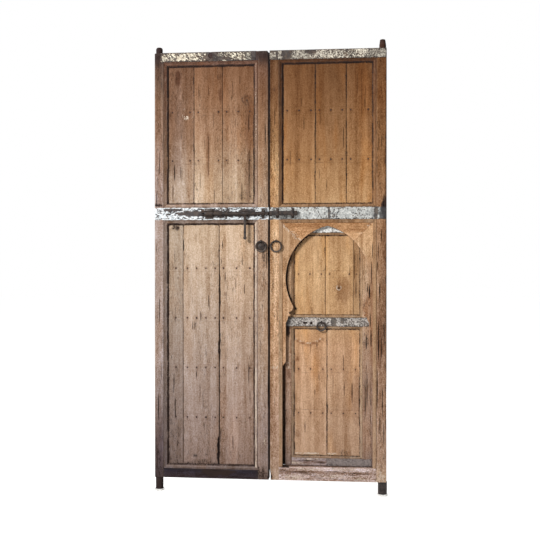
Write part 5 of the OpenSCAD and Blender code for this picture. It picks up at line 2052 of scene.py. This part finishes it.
@dataclass
class LeftLeaf(Leaf):
    """The left leaf: greyed boards, blackened rails and white tin."""

    body: str = "left_leaf"
    side: str = "left"
    moulding_node: str = "left_mouldings"
    moulding_finish: WoodFinish = LEFT_MOULDING
    strip_wear: tuple[float, ...] = (3.0, 1.0, 0.8, 0.36, 0.0)
    rail_finish: WoodFinish = BLACKENED
    rail_seed: float = 8.0
    batten_seed: float = 40.0
    board_seed: float = 11.0
    seed_step: float = 2.3
    splits: int = 5
    nail_head: float = 0.005
    rail_wear: ClassVar[dict[str, float]] = {
        "splits": 8, "edge_wear": 0.12, "across_step": 0.006, "along_step": 0.012,
    }

    def _posts(self) -> None:
        """Builds the pivot stile with its two pins, and the meeting stile."""
        box = Box.of_node("left_pivot_stile")
        rail = Box.of_node("left_top_rail")
        x = Box.of_node("left_mid_tin").low.x
        low, high = Box.of_node("left_bottom_rail").low.z, rail.high.z
        post = Timber(
            rail.reach(x=(x, x + LEFT_POST_WIDTH), z=(low, high)), Grain.UPRIGHT, 1.3,
            arris=0.004, across_step=0.007, splits=8, edge_wear=0.3,
            cracks=(
                Crack(x + 0.012, 1.66, 1.74), Crack(x + 0.028, 1.0, 1.12, 0.004),
                Crack(x + 0.022, 0.42, 0.56), Crack(x + 0.03, 1.86, 1.96, 0.004),
            ),
            patches=(
                grime(x + 0.02, low + 0.1, 0.06, 0.3, 0.36), grime(x + 0.03, low + 0.02, 0.08, 0.1, 0.5),
                grime(x + 0.02, high - 0.02, 0.08, 0.08, 0.45), grime(x + 0.02, 1.665, 0.03, 0.012, 0.9),
                grime(x + 0.045, high - 0.16, 0.03, 0.09, 0.4),
            ),
        )
        axis = Box.of_node("left_floor_socket").middle.x
        radius = axis - box.low.x
        top = Pin(axis, (high - 0.004, box.high.z), 0.02, 0.02, 0.013, 5.0)
        bottom = Pin(axis, (box.low.z, low + 0.004), radius, radius - 0.0004, 0.007, 6.0)
        self.make("left_pivot_post", LEFT_POST, ("left_pivot_stile",), [post, top, bottom])
        box = Box.of_node("left_meeting_stile")
        x = box.high.x
        stile = Timber(
            box, Grain.UPRIGHT, 2.1, arris=0.0025, across_step=0.007, splits=6, hidden_side=1,
            cracks=(
                Crack(x - 0.012, 1.3, 1.42), Crack(x - 0.02, 2.02, 2.12), Crack(x - 0.01, 1.72, 1.86, 0.004),
            ),
            bites=(
                Bite(1, 1.33, 1.43, 0.004), Bite(1, 1.0, 1.2, 0.003), Bite(1, 0.5, 0.72, 0.004),
                Bite(1, 2.05, 2.16, 0.003), Bite(1, 2.535, 2.56, 0.012),
            ),
            patches=(
                grime(x - 0.03, box.high.z - 0.01, 0.06, 0.07, 0.5), grime(x - 0.028, 1.37, 0.014, 0.05, 0.5),
                grime(x - 0.045, box.low.z + 0.02, 0.06, 0.07, 0.6), scuff(x - 0.02, 0.3, 0.01, 0.03, 0.4),
            ),
        )
        self.make("left_meeting_post", LEFT_STILE, ("left_meeting_stile",), [stile])

    def _rail_ends(self) -> Span:
        """The places where the rails meet the posts."""
        return Box.of_node("left_mid_tin").low.x + LEFT_POST_WIDTH, Box.of_node("left_meeting_stile").low.x

    def _rail_marks(self) -> dict[str, tuple]:
        """The marks on the rails, by the rail's place."""
        return {"bottom": LEFT_BOTTOM_RAIL}

    def _boards(self) -> None:
        """Builds the six boards with their knots, splits and eaten edges."""
        for i, (name, own) in enumerate(LEFT_BOARDS.items()):
            finish = LEFT_UPPER if "upper" in name else LEFT_LOWER
            if name == "left_upper_board_3":
                finish = LEFT_GREYED
            planks = self._plank(Box.of_node(name), self.board_seed + self.seed_step * i, own)
            self.make(f"{name}_wood", finish, (name,), planks)

    def _tin(self) -> None:
        """Builds the tin on the top and middle rails."""
        top = TinSheet(
            under_lip("left_top_tin"), 1.0, lip=0.022, fray=0.007,
            bare=(
                Tear(-0.335, 2.53, 0.03, 0.05), Tear(-0.27, 2.513, 0.05, 0.008),
                Tear(-0.09, 2.53, 0.012, 0.04),
            ),
            tears=(Tear(-0.342, 2.536, 0.012, 0.02),),
            dirt=(grime(-0.1, 2.53, 0.05, 0.06, 0.5), grime(-0.3, 2.52, 0.06, 0.04, 0.4)),
        )
        mid = TinSheet(
            Box.of_node("left_mid_tin"), 2.0, fray=0.006, edge_bare=-0.12,
            bare=(
                Tear(-0.57, 1.638, 0.05, 0.007), Tear(-0.44, 1.617, 0.1, 0.014),
                Tear(-0.33, 1.62, 0.06, 0.018), Tear(-0.2, 1.61, 0.16, 0.011), Tear(-0.13, 1.63, 0.05, 0.01),
            ),
            tears=(Tear(-0.385, 1.63, 0.012, 0.012),),
        )
        self._sheets([
            ("left_top_tin", "left_top_tin", LEFT_TOP_TIN, top),
            ("left_mid_tin", "left_mid_tin", LEFT_MID_TIN, mid),
        ])


@dataclass
class RightLeaf(Leaf):
    """The right leaf: golden boards above, and the frame for the arch and the wicket below."""

    body: str = "right_leaf"
    side: str = "right"
    moulding_node: str = "right_moulding"
    moulding_finish: WoodFinish = RIGHT_MOULDING
    strip_wear: tuple[float, ...] = (23.0, 0.95, 0.1)
    rail_finish: WoodFinish = RIGHT_RAIL
    rail_seed: float = 18.0
    batten_seed: float = 50.0
    board_seed: float = 31.0
    seed_step: float = 2.7
    splits: int = 2
    nail_head: float = 0.005
    shoe_wall: float = 0.0035
    rail_wear: ClassVar[dict[str, float]] = {
        "splits": 8, "edge_wear": 0.6, "across_step": 0.005, "along_step": 0.012, "ripple": 0.0012,
    }

    def _posts(self) -> None:
        """Builds the pivot stile with its pins and shoe, and the meeting stile."""
        box = Box.of_node("right_pivot_stile")
        rail = Box.of_node("right_top_rail")
        outer = Box.of_node("right_mid_tin").high.x
        x = outer - RIGHT_POST_WIDTH
        low, high = Box.of_node("right_bottom_rail").low.z, rail.high.z
        post = Timber(
            rail.reach(x=(x, outer), z=(low, high)), Grain.UPRIGHT, 4.4,
            arris=0.004, across_step=0.006, splits=12, edge_wear=0.3, ripple=0.001,
            cracks=(
                Crack(x + 0.012, 1.36, 1.44, 0.006), Crack(x + 0.008, 1.3, 1.34),
                Crack(x + 0.02, 1.14, 1.21, 0.008), Crack(x + 0.03, 1.46, 1.52, 0.006),
                Crack(x + 0.013, 0.78, 0.99, 0.009),
                Crack(x + 0.03, 0.8, 0.9, 0.007), Crack(x + 0.006, 0.5, 0.72, 0.006),
                Crack(x + 0.035, 0.46, 0.62, 0.006), Crack(x + 0.02, 0.36, 0.46, 0.005),
                Crack(x + 0.042, 1.6, 1.72, 0.006), Crack(x + 0.045, 0.86, 1.0, 0.006),
                Crack(x + 0.04, 0.3, 0.42, 0.004),
            ),
            patches=(
                grime(x + 0.05, 1.66, 0.03, 0.07, 0.8), stain(x + 0.02, 0.9, 0.03, 0.2, 0.5),
                # The two long strips along the outer edge are painted shade on the rounded edge.
                grime(x + 0.058, 1.9, 0.012, 0.75, 0.55), grime(x + 0.056, 0.8, 0.01, 0.7, 0.45),
                stain(x + 0.05, 1.2, 0.02, 0.5, 0.4), scuff(x + 0.03, 0.12, 0.03, 0.04, 0.4),
            ),
        )
        shoe = Box.of_node("right_pivot_shoe")
        axis, radius = shoe.middle.x, shoe.size.x / 2.0 - self.shoe_wall
        neck = Pin(axis, (high - 0.004, high + 0.024), 0.02, 0.02, 0.001, 5.0)
        tip = Pin(axis, (high + 0.022, box.high.z), 0.0198, 0.0155, 0.005, 5.5)
        core = Pin(axis, (box.low.z, low + 0.004), radius, radius, 0.001, 6.0)
        self.make("right_pivot_post", RIGHT_POST, ("right_pivot_stile",), [post, neck, tip, core])
        self.forge("right_pivot_shoe", SHOE_IRON, self.body, 0.0012, 0.0006, 0.008, 2)
        box = Box.of_node("right_meeting_stile")
        x = box.low.x
        stile = Timber(
            box, Grain.UPRIGHT, 3.2, arris=0.0025, across_step=0.007, splits=4, hidden_side=-1,
            knots=(Knot(x + 0.026, 2.33, 0.011, 0.7),),
            cracks=(Crack(x + 0.03, 2.12, 2.22, 0.003), Crack(x + 0.02, 1.18, 1.26, 0.003)),
            bites=(Bite(-1, 0.06, 0.14, 0.012),),
            patches=(
                scuff(x + 0.03, 0.735, 0.03, 0.008, 0.6), stain(x + 0.03, 0.715, 0.025, 0.01, 0.5),
                Patch(Mark.WEAR, x + 0.035, 1.37, 0.014, 0.05, 0.5), scuff(x + 0.03, 0.12, 0.03, 0.05, 0.35),
            ),
        )
        self.make("right_meeting_post", RIGHT_STILE, ("right_meeting_stile",), [stile])

    def _rail_ends(self) -> Span:
        """The places where the rails meet the posts."""
        outer = Box.of_node("right_mid_tin").high.x
        return Box.of_node("right_meeting_stile").high.x, outer - RIGHT_POST_WIDTH

    def _rail_marks(self) -> dict[str, tuple]:
        """The marks on the rails, by the rail's place."""
        return {"bottom": RIGHT_BOTTOM_RAIL}

    def _boards(self) -> None:
        """Builds the three boards of the upper panel."""
        for i, (name, own) in enumerate(RIGHT_BOARDS.items()):
            planks = self._plank(Box.of_node(name), self.board_seed + self.seed_step * i, own)
            self.make(f"{name}_wood", RIGHT_UPPER, (name,), planks)

    def _tin(self) -> None:
        """Builds the tin on the top and middle rails."""
        top = TinSheet(
            under_lip("right_top_tin"), 4.0, lip=0.022,
            bare=(Tear(0.1, 2.53, 0.03, 0.03), Tear(0.045, 2.53, 0.006, 0.04), Tear(0.24, 2.54, 0.03, 0.012)),
            dirt=(grime(0.13, 2.53, 0.17, 0.06, 0.35), grime(0.63, 2.53, 0.09, 0.06, 0.4)),
        )
        mid = TinSheet(
            Box.of_node("right_mid_tin"), 5.0,
            bare=(Tear(0.61, 1.62, 0.01, 0.05), Tear(0.344, 1.61, 0.007, 0.04)),
            dirt=(grime(0.672, 1.62, 0.05, 0.12, 1.0), grime(0.6, 1.62, 0.02, 0.05, 0.4)),
        )
        self._sheets([
            ("right_top_tin", "right_top_tin", RIGHT_TOP_TIN, top),
            ("right_mid_tin", "right_mid_tin", RIGHT_MID_TIN, mid),
        ])


@dataclass
class ArchFront(Assembly):
    """The three mitred boards that are cut to a pointed horseshoe arch."""

    body: str = "right_leaf"
    haunch: float = 0.039
    crown: float = 0.037
    offset: float = 0.071
    cusp_drop: float = 0.16
    capital: tuple[Span, ...] = (
        (0.006, 0.024), (0.027, 0.037), (0.013, 0.05), (0.031, 0.059), (0.032, 0.072),
    )
    capital_drop: float = 0.095
    column: float = 0.04
    plinth: float = 0.021
    curve_top: float = 0.684
    curve_height: float = 0.032
    arris: float = 0.0022
    steps: Span = (0.01, 0.012)

    def __post_init__(self) -> None:
        """Places the arch between the leaf's posts."""
        left = Box.of_node("right_meeting_stile").high.x
        right = Box.of_node("right_mid_tin").high.x - RIGHT_POST_WIDTH
        self.top = Box.of_node("right_mid_rail").low.z
        self.middle, self.half = (left + right) / 2.0, (right - left) / 2.0
        self.radius = self.half - self.haunch + self.offset
        self.centre_z = self.top - self.crown - math.sqrt(self.radius**2 - self.offset**2)

    def build(self) -> None:
        """Builds the head, the jambs and their moulding."""
        for name, finish, seed in (
            ("arch_head", ARCH_LEVEL, 61.0), ("arch_left_jamb", ARCH_UPRIGHT, 63.0),
            ("arch_right_jamb", ARCH_WORN, 66.0),
        ):
            board = Piece(f"{name}_wood", self.body, finish, (name,))
            self._slab(board)
            self._part(board, name)
            self._wear(board, name, seed)
            board.close(self.library)
        boxes = self.frame.solids("arch_moulding")
        middle = sum(b.middle.x for b in boxes) / len(boxes)
        strips = []
        for i, box in enumerate(boxes):
            outward, wear = Vector((0.0, 0.0, 1.0)), {"grime": 0.4}
            if box.size.z > box.size.x:
                outward = Vector((1.0 if box.middle.x > middle else -1.0, 0.0, 0.0))
                wear = {"mitres": (False, True), "grime": 0.3, "shade": 0.0}
            strips.append(MouldingStrip(box, outward, 70.0 + i, shine=0.0, **wear))
        self.make("arch_moulding_strips", RIGHT_MOULDING, ("arch_moulding",), strips)

    def rim(self) -> ArchRim:
        """The painted shadow line, with some dirt, that the arch leaves on the wicket."""
        return ArchRim(self.middle, self.offset, self.radius, self.centre_z, self.cusp_drop)

    def _outline(self) -> list[Span]:
        """The half outline from the crown's top, round the foot and up to the cusp.

        Returns:
            The points' places from the middle, and their heights.
        """
        rail = Box.of_node("right_bottom_rail")
        foot, curve = rail.high.z, rail.low.z + self.curve_top
        column, plinth = self.half - self.column, self.half - self.plinth
        path = [(0.0, self.top), (self.half, self.top), (self.half, foot), (plinth, foot)]
        path.append((plinth, curve - self.curve_height))
        for i in range(1, 6):
            run = plinth + (column - plinth) * (1.0 - math.cos(math.pi * i / 6.0)) / 2.0
            path.append((run, curve - self.curve_height * (1.0 - i / 6.0)))
        cusp_z = self.centre_z - self.cusp_drop
        cusp = math.sqrt(self.radius**2 - self.cusp_drop**2) - self.offset
        path += [(column, curve), (column, cusp_z - self.capital_drop)]
        path += [(cusp + out, cusp_z - down) for out, down in reversed(self.capital)]
        return [*path, (cusp, cusp_z)]

    def _slab(self, board: Piece) -> None:
        """Makes the whole cut-out slab, from one half outline and its mirror image.

        Args:
            board: The piece that takes the slab.
        """
        mesh, box = board.mesh, Box.of_node("arch_head")
        back, front = box.high.y, box.low.y
        chain = [mesh.verts.new((x, back, z)) for x, z in self._outline()]
        for first, second in zip(chain, chain[1:]):
            mesh.edges.new((first, second))
        turn = math.asin(self.cusp_drop / self.radius) + math.acos(self.offset / self.radius)
        bmesh.ops.spin(
            mesh, geom=[chain[-1]], cent=(-self.offset, back, self.centre_z), axis=(0.0, -1.0, 0.0),
            dvec=(0.0, 0.0, 0.0), angle=turn, steps=44, use_merge=False, use_normal_flip=False,
            use_duplicate=False,
        )
        bmesh.ops.remove_doubles(mesh, verts=mesh.verts, dist=1e-6)
        for vert in mesh.verts:
            if abs(vert.co.x) < 2e-4:
                vert.co.x = 0.0
        bmesh.ops.mirror(mesh, geom=[*mesh.verts, *mesh.edges], axis="X", merge_dist=1e-5)
        bmesh.ops.remove_doubles(mesh, verts=mesh.verts, dist=1e-5)
        bmesh.ops.contextual_create(mesh, geom=list(mesh.edges))
        bmesh.ops.translate(mesh, verts=mesh.verts, vec=(self.middle, 0.0, 0.0))
        made = bmesh.ops.extrude_face_region(mesh, geom=list(mesh.faces))["geom"]
        verts = [g for g in made if isinstance(g, bmesh.types.BMVert)]
        bmesh.ops.translate(mesh, verts=verts, vec=(0.0, front - back, 0.0))
        bmesh.ops.recalc_face_normals(mesh, faces=mesh.faces)

    def _part(self, board: Piece, name: str) -> None:
        """Cuts one board out of the slab along the mitres.

        Args:
            board: The piece that holds the slab.
            name: The board that is kept.
        """
        bmesh.ops.triangulate(board.mesh, faces=board.mesh.faces)
        for side in (-1.0, 1.0):
            corner = Vector((self.middle + side * self.half, 0.0, self.top))
            normal = Vector((side, 0.0, -1.0)).normalized()
            if name == "arch_head":
                self._trim(board, corner, normal)
            elif (name == "arch_right_jamb") == (side > 0.0):
                self._trim(board, corner, -normal)
                self._trim(board, Vector((self.middle, 0.0, 0.0)), Vector((-side, 0.0, 0.0)))
        board.soften(self.arris)

    @staticmethod
    def _trim(board: Piece, point: Vector, normal: Vector) -> None:
        """Cuts away what lies on a plane's outer side and closes the cut.

        Args:
            board: The piece that is cut.
            point: A point of the plane.
            normal: The way to the outer side.
        """
        mesh = board.mesh
        geom = [*mesh.verts, *mesh.edges, *mesh.faces]
        bmesh.ops.bisect_plane(mesh, geom=geom, dist=1e-6, plane_co=point, plane_no=normal, clear_outer=True)
        bmesh.ops.holes_fill(mesh, edges=[e for e in mesh.edges if e.is_boundary], sides=0)

    def _wear(self, board: Piece, name: str, seed: float) -> None:
        """Divides the board, wears its face and edges, and paints a highlight along the lit side of the rim
        and shade on the rim's walls.

        Args:
            board: The piece that holds the board.
            name: The board's node.
            seed: The number that shifts its pattern.
        """
        low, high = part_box(name)
        depth = (low.y + high.y) / 2.0
        for axis, step in zip((0, 2), self.steps):
            count = int((high[axis] - low[axis]) / step)
            board.slice(axis, [low[axis] + step * (i + 0.5) for i in range(count)])
        cracks = ARCH_CRACKS.get(name, ())
        for crack in cracks:
            board.slice(0, crack.loops(), depth)
        layers = board.layers
        for vert in board.fresh():
            co = vert.co
            dx, dz = abs(co.x - self.middle), co.z - self.centre_z
            rim = dx - (self.half - self.column)
            if dz > -self.cusp_drop:
                rim = math.hypot(dx + self.offset, dz) - self.radius
            rough = 0.5 + 0.5 * noise.noise(Vector((co.x * 24.0, co.z * 16.0, seed)))
            front = co.y < depth
            # Painted highlight along the rim on the lit right side.
            lit = ease(-0.05, 0.15, co.x - self.middle)
            vert[layers[Mark.WEAR]] = min(1.0, 0.6 * lit * (1.0 - ease(0.0, 0.012, abs(rim))) * (0.3 + rough))
            if name != "arch_right_jamb":
                mitre = abs(dx - (self.half - (self.top - co.z)))
                scuffed = (1.0 - ease(0.008, 0.034, mitre)) * ease(0.1, 0.6, rough)
                vert[layers[Mark.SCUFF]] = (0.42 if co.x < self.middle else 0.36) * scuffed
            if front:
                push = 0.0007 * noise.noise(Vector((co.x * 11.0, co.z * 4.0, seed)))
                cuts = [crack.cut(co.x, co.z) for crack in cracks]
                vert[layers[Mark.CRACK]] = max((dark for _, dark in cuts), default=0.0)
                co.y += push + sum(sunk for sunk, _ in cuts)
            # Painted shade on the rim's cut walls, darkest on the left, away from the light.
            if min(abs(co.y - low.y), abs(co.y - high.y)) > 0.001 and abs(rim) < 0.05:
                vert[layers[Mark.GRIME]] = 0.95 - 0.6 * lit
            elif not front:
                vert[layers[Mark.GRIME]] = 0.3 * rough
        board.settle(seed)


@dataclass(kw_only=True)
class Wicket(Leaf):
    """The small door behind the arch."""

    rim: ArchRim
    body: str = "wicket"
    side: str = "wicket"
    moulding_node: str = "wicket_mouldings"
    moulding_finish: WoodFinish = RIGHT_MOULDING
    strip_wear: tuple[float, ...] = (93.0, 0.9, 0.1)
    rail_finish: WoodFinish = WICKET_RAIL
    rail_seed: float = 75.0
    batten_seed: float = 97.0
    board_seed: float = 81.0
    seed_step: float = 3.1
    splits: int = 2
    nail_head: float = 0.0042
    pin_radius: float = 0.009
    lock_width: float = 0.038
    flange_depth: float = 0.008
    flange_share: float = 0.8
    panel_seed: float = 9.0
    panel_dirt: float = 0.8
    rail_wear: ClassVar[dict[str, float]] = {"splits": 6, "edge_wear": 0.4, "across_step": 0.007}

    def _posts(self) -> None:
        """Builds the hinge stile with its pivots, and the lock stile with its flange."""
        box = Box.of_node("wicket_hinge_stile")
        rail = Box.of_node("wicket_top_rail")
        lock = Box.of_node("wicket_lock_stile")
        low, high, radius = lock.low.z, lock.high.z, rail.size.y / 2.0
        axis, x = box.high.x - radius, box.low.x
        wood = Timber(
            rail.reach(x=(x, axis), z=(low, high)), Grain.UPRIGHT, 71.0, arris=0.0025, splits=10,
            cracks=(
                Crack(x + 0.03, 1.12, 1.2, 0.006), Crack(x + 0.016, 0.45, 0.66, 0.005),
                Crack(x + 0.026, 0.52, 0.7, 0.006), Crack(x + 0.022, 0.84, 0.92, 0.006),
            ),
            patches=(
                # The rim's painted shadow, and at x 0.584 a painted shadow line along the right jamb's edge.
                self.rim, grime(0.584, 0.45, 0.006, 0.32, 0.6), grime(x + 0.02, 0.6, 0.03, 0.14, 0.3),
                grime(x + 0.02, 0.88, 0.02, 0.06, 0.42),
            ),
        )
        rods = [Rod(Vector((axis, rail.middle.y, (low + high) / 2.0)), high - low - 0.002, radius, 32, 71.5)]
        for start, end in ((box.low.z, low + 0.004), (high - 0.004, box.high.z)):
            middle = Vector((axis, rail.middle.y, (start + end) / 2.0))
            rods.append(Rod(middle, end - start, self.pin_radius, 24, 72.0))
        self.make("wicket_hinge_post", WICKET_STILE, ("wicket_hinge_stile",), [wood, *rods])
        inner = Box.of_node("wicket_upper_boards").low.x
        x = inner - self.lock_width
        main = Timber(
            rail.reach(x=(x, inner), z=(low, high)), Grain.UPRIGHT, 73.0,
            arris=0.003, across_step=0.006, splits=6, edge_wear=0.05,
            patches=(
                scuff(x + 0.02, 0.74, 0.012, 0.03, 0.4), stain(x + 0.02, 0.69, 0.02, 0.03, 0.6),
                # A painted shadow line along the stile's left edge under the plinth, a patch that darkens the
                # stile towards that edge, and the rim's painted shadow.
                grime(x, 0.5, 0.005, 0.5, 0.5), grime(x + 0.01, 0.95, 0.03, 0.06, 0.9),
                stain(x + 0.004, 0.5, 0.02, 0.45, 0.3), self.rim,
            ),
        )
        foot = low - self.flange_share * (low - Box.of_node("right_bottom_rail").high.z)
        back = rail.high.y
        strip = Box(Vector((lock.low.x, back - self.flange_depth, foot)), Vector((x + 0.001, back, high)))
        # The flange is painted dark all over: painted shade of the deep gap in which it is seen.
        flange = Timber(
            strip, Grain.UPRIGHT, 74.0, arris=0.0015, edge_grime=0.3, edge_reach=0.2, shade=0.45,
            patches=(grime(strip.middle.x, 0.3, 0.1, 0.4, 0.5),),
        )
        self.make("wicket_lock_post", WICKET_STILE, ("wicket_lock_stile",), [main, flange])

    def _rail_ends(self) -> Span:
        """The places where the rails meet the stiles."""
        boards = Box.of_node("wicket_upper_boards")
        return boards.low.x, boards.high.x

    def _rail_marks(self) -> dict[str, tuple]:
        """The marks on the rails, by the rail's place."""
        middle = Box.of_node("wicket_mid_rail").middle.z
        # The top rail gets the rim's painted shadow.
        return {"top": (self.rim,), "mid": (grime(0.22, middle, 0.12, 0.03),), "bottom": WICKET_BOTTOM_RAIL}

    def _boards(self) -> None:
        """Builds the boards of both panels, one piece for each panel."""
        for k, (name, boards) in enumerate(WICKET_BOARDS.items()):
            planks = []
            for i, (box, own) in enumerate(zip(self.frame.solids(name), boards)):
                # Each board gets the rim's painted shadow; the panel's edges get painted shadow and dirt.
                own = own | {"patches": (*own.get("patches", ()), self.rim)}
                seed = self.board_seed + self.seed_step * i + self.panel_seed * k
                planks += self._plank(box, seed, own, self.panel_dirt)
            self.make(f"{name}_wood", WICKET_BOARD, (name,), planks)

    def _tin(self) -> None:
        """Builds the tin on the three rails."""
        low, mid, top = self.frame.solids("wicket_tins")
        z = mid.middle.z
        middle = TinSheet(
            mid, 7.0, fray=0.003, wrinkle=0.0008,
            tears=(Tear(0.205, z - 0.006, 0.013, 0.006), Tear(0.24, z - 0.008, 0.01, 0.008)),
            bare=(Tear(0.37, z, 0.014, 0.04), Tear(0.42, z + 0.01, 0.01, 0.02)),
            dirt=(grime(0.1, z, 0.03, 0.04, 0.8),),
        )
        self._sheets([
            ("wicket_bottom_tin", "wicket_tins", SLATE_TIN, TinSheet(low, 6.0, wrinkle=0.0006)),
            ("wicket_mid_tin", "wicket_tins", WICKET_TIN, middle),
            ("wicket_top_tin", "wicket_tins", CROWN_TIN, TinSheet(top, 8.0, wrinkle=0.0008)),
        ])


@dataclass
class Ironwork(Assembly):
    """The sliding bolt with its guides, handle and keeper, the ring pulls and the floor cups."""

    body: str = "left_leaf"

    def build(self) -> None:
        """Builds every iron piece."""
        for node, finish, body, *sizes in (
            ("bolt_bar", DARK_IRON, "bolt", 0.0012, 0.0005, 0.012),
            ("bolt_collars", DARK_IRON, "bolt", 0.0008, 0.0003),
            ("bolt_handle", DARK_IRON, "bolt_handle", 0.001, 0.0003, 0.01, 2),
            ("bolt_guides", DARK_IRON, "left_leaf", 0.001, 0.0003),
            ("bolt_keeper", DARK_IRON, "right_leaf", 0.003, 0.0004, 0.012),
            ("keeper_staples", DARK_IRON, "right_leaf", 0.0012, 0.0002),
            ("left_ring_plate", DARK_IRON, "left_leaf", 0.0005, 0.0002),
            ("left_floor_socket", LIMEWASH, "floor_sockets", 0.0012, 0.0002),
            ("right_floor_socket", LIMEWASH, "floor_sockets", 0.0012, 0.0002),
        ):
            self.forge(node, finish, body, *sizes)
        for body in ("left_leaf", "right_leaf", "wicket"):
            ring = body.split("_")[0] + "_ring"
            self.make(f"{ring}_iron", DARK_IRON, (ring,), [Ring(Box.of_node(ring))], ring)
            self.forge(f"{ring}_eye", DARK_IRON, body, 0.0006, 0.0002)


@dataclass(frozen=True)
class Studio:
    """The pale floor, the soft lights and the camera."""

    camera_place: tuple[float, float, float] = (0.4951, -5.0, 1.3148)
    camera_yaw: float = -0.0983
    camera_pitch: float = -0.0049
    focal_pixels: float = 868.1
    picture_pixels: float = 540.0
    sensor: float = 36.0
    target: tuple[float, float, float] = (0.0, 0.0, 1.3)

    def build(self) -> None:
        """Builds the whole stage."""
        self._floor()
        self._world()
        self._lamp("key", (-2.9, -4.4, 3.9), 1.3, 300.0)
        self._lamp("back", (0.6, 4.2, 3.2), 2.4, 90.0)
        self._camera()

    @staticmethod
    def _seen(graph: Graph) -> Socket:
        """Tells the rays that show the background from those that light the door.

        Args:
            graph: The nodes of the floor or the surround.

        Returns:
            A socket that is 1 for the rays that show it.
        """
        path = graph.add("ShaderNodeLightPath").outputs
        seen = graph.math("MAXIMUM", path["Is Camera Ray"], path["Is Glossy Ray"])
        return graph.math("MAXIMUM", seen, path["Is Transmission Ray"])

    def _floor(self) -> None:
        """Lays a pale floor that stays white and keeps the shadow."""
        mesh = bmesh.new()
        bmesh.ops.create_grid(mesh, x_segments=1, y_segments=1, size=30.0)
        data = bpy.data.meshes.new("floor")
        mesh.to_mesh(data)
        mesh.free()
        floor = bpy.data.objects.new("floor", data)
        floor.location.z = -0.0005
        bpy.context.scene.collection.objects.link(floor)
        material = bpy.data.materials.new("pale_floor")
        material.use_nodes = True
        graph = Graph(material.node_tree)
        material.node_tree.nodes.clear()
        strength = graph.math("MULTIPLY", self._seen(graph), 0.84)
        matt = graph.add("ShaderNodeBsdfDiffuse", {"Color": (0.8, 0.8, 0.8)})
        glow = graph.add("ShaderNodeEmission", {"Color": (1.0, 1.0, 1.0), "Strength": strength})
        both = graph.add("ShaderNodeAddShader", {0: matt.outputs[0], 1: glow.outputs[0]})
        graph.add("ShaderNodeOutputMaterial", {"Surface": both.outputs[0]})
        data.materials.append(material)
        floor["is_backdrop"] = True

    def _world(self) -> None:
        """Makes a white surround that lights the door softly."""
        world = bpy.data.worlds.new("studio")
        bpy.context.scene.world = world
        world.use_nodes = True
        graph = Graph(world.node_tree)
        world.node_tree.nodes.clear()
        strength = graph.between(self._seen(graph), 0.2, 1.0)
        light = graph.add("ShaderNodeBackground", {"Color": (1.0, 1.0, 1.0), "Strength": strength})
        graph.add("ShaderNodeOutputWorld", {"Surface": light.outputs[0]})

    def _lamp(self, name: str, place: tuple[float, float, float], size: float, power: float) -> None:
        """Hangs a soft square lamp that points at the door.

        Args:
            name: The lamp's name.
            place: Where it hangs.
            size: The length of its sides.
            power: Its power in watts.
        """
        light = bpy.data.lights.new(name, "AREA")
        light.size = size
        light.energy = power
        lamp = bpy.data.objects.new(name, light)
        lamp.location = place
        lamp.rotation_euler = (Vector(self.target) - Vector(place)).to_track_quat("-Z", "Y").to_euler()
        bpy.context.scene.collection.objects.link(lamp)

    def _camera(self) -> None:
        """Sets the camera at the photograph's viewing angle."""
        lens = bpy.data.cameras.new("camera")
        lens.sensor_width = self.sensor
        lens.lens = self.sensor * self.focal_pixels / self.picture_pixels
        camera = bpy.data.objects.new("camera", lens)
        camera.location = self.camera_place
        camera.rotation_euler = (math.pi / 2 + self.camera_pitch, 0.0, -self.camera_yaw)
        bpy.context.scene.collection.objects.link(camera)
        bpy.context.scene.camera = camera


def main() -> None:
    """Builds the door's pieces in order and sets the stage."""
    logging.basicConfig(level=logging.INFO, format="%(message)s")
    frame = Frame()
    library = Library()
    arch = ArchFront(frame, library)
    LeftLeaf(frame, library).build()
    RightLeaf(frame, library).build()
    arch.build()
    Wicket(frame, library, rim=arch.rim()).build()
    Ironwork(frame, library).build()
    Studio().build()
    bpy.context.scene.view_settings.view_transform = "Standard"
    frame.write_sizes()


if __name__ == "__main__":
    main()
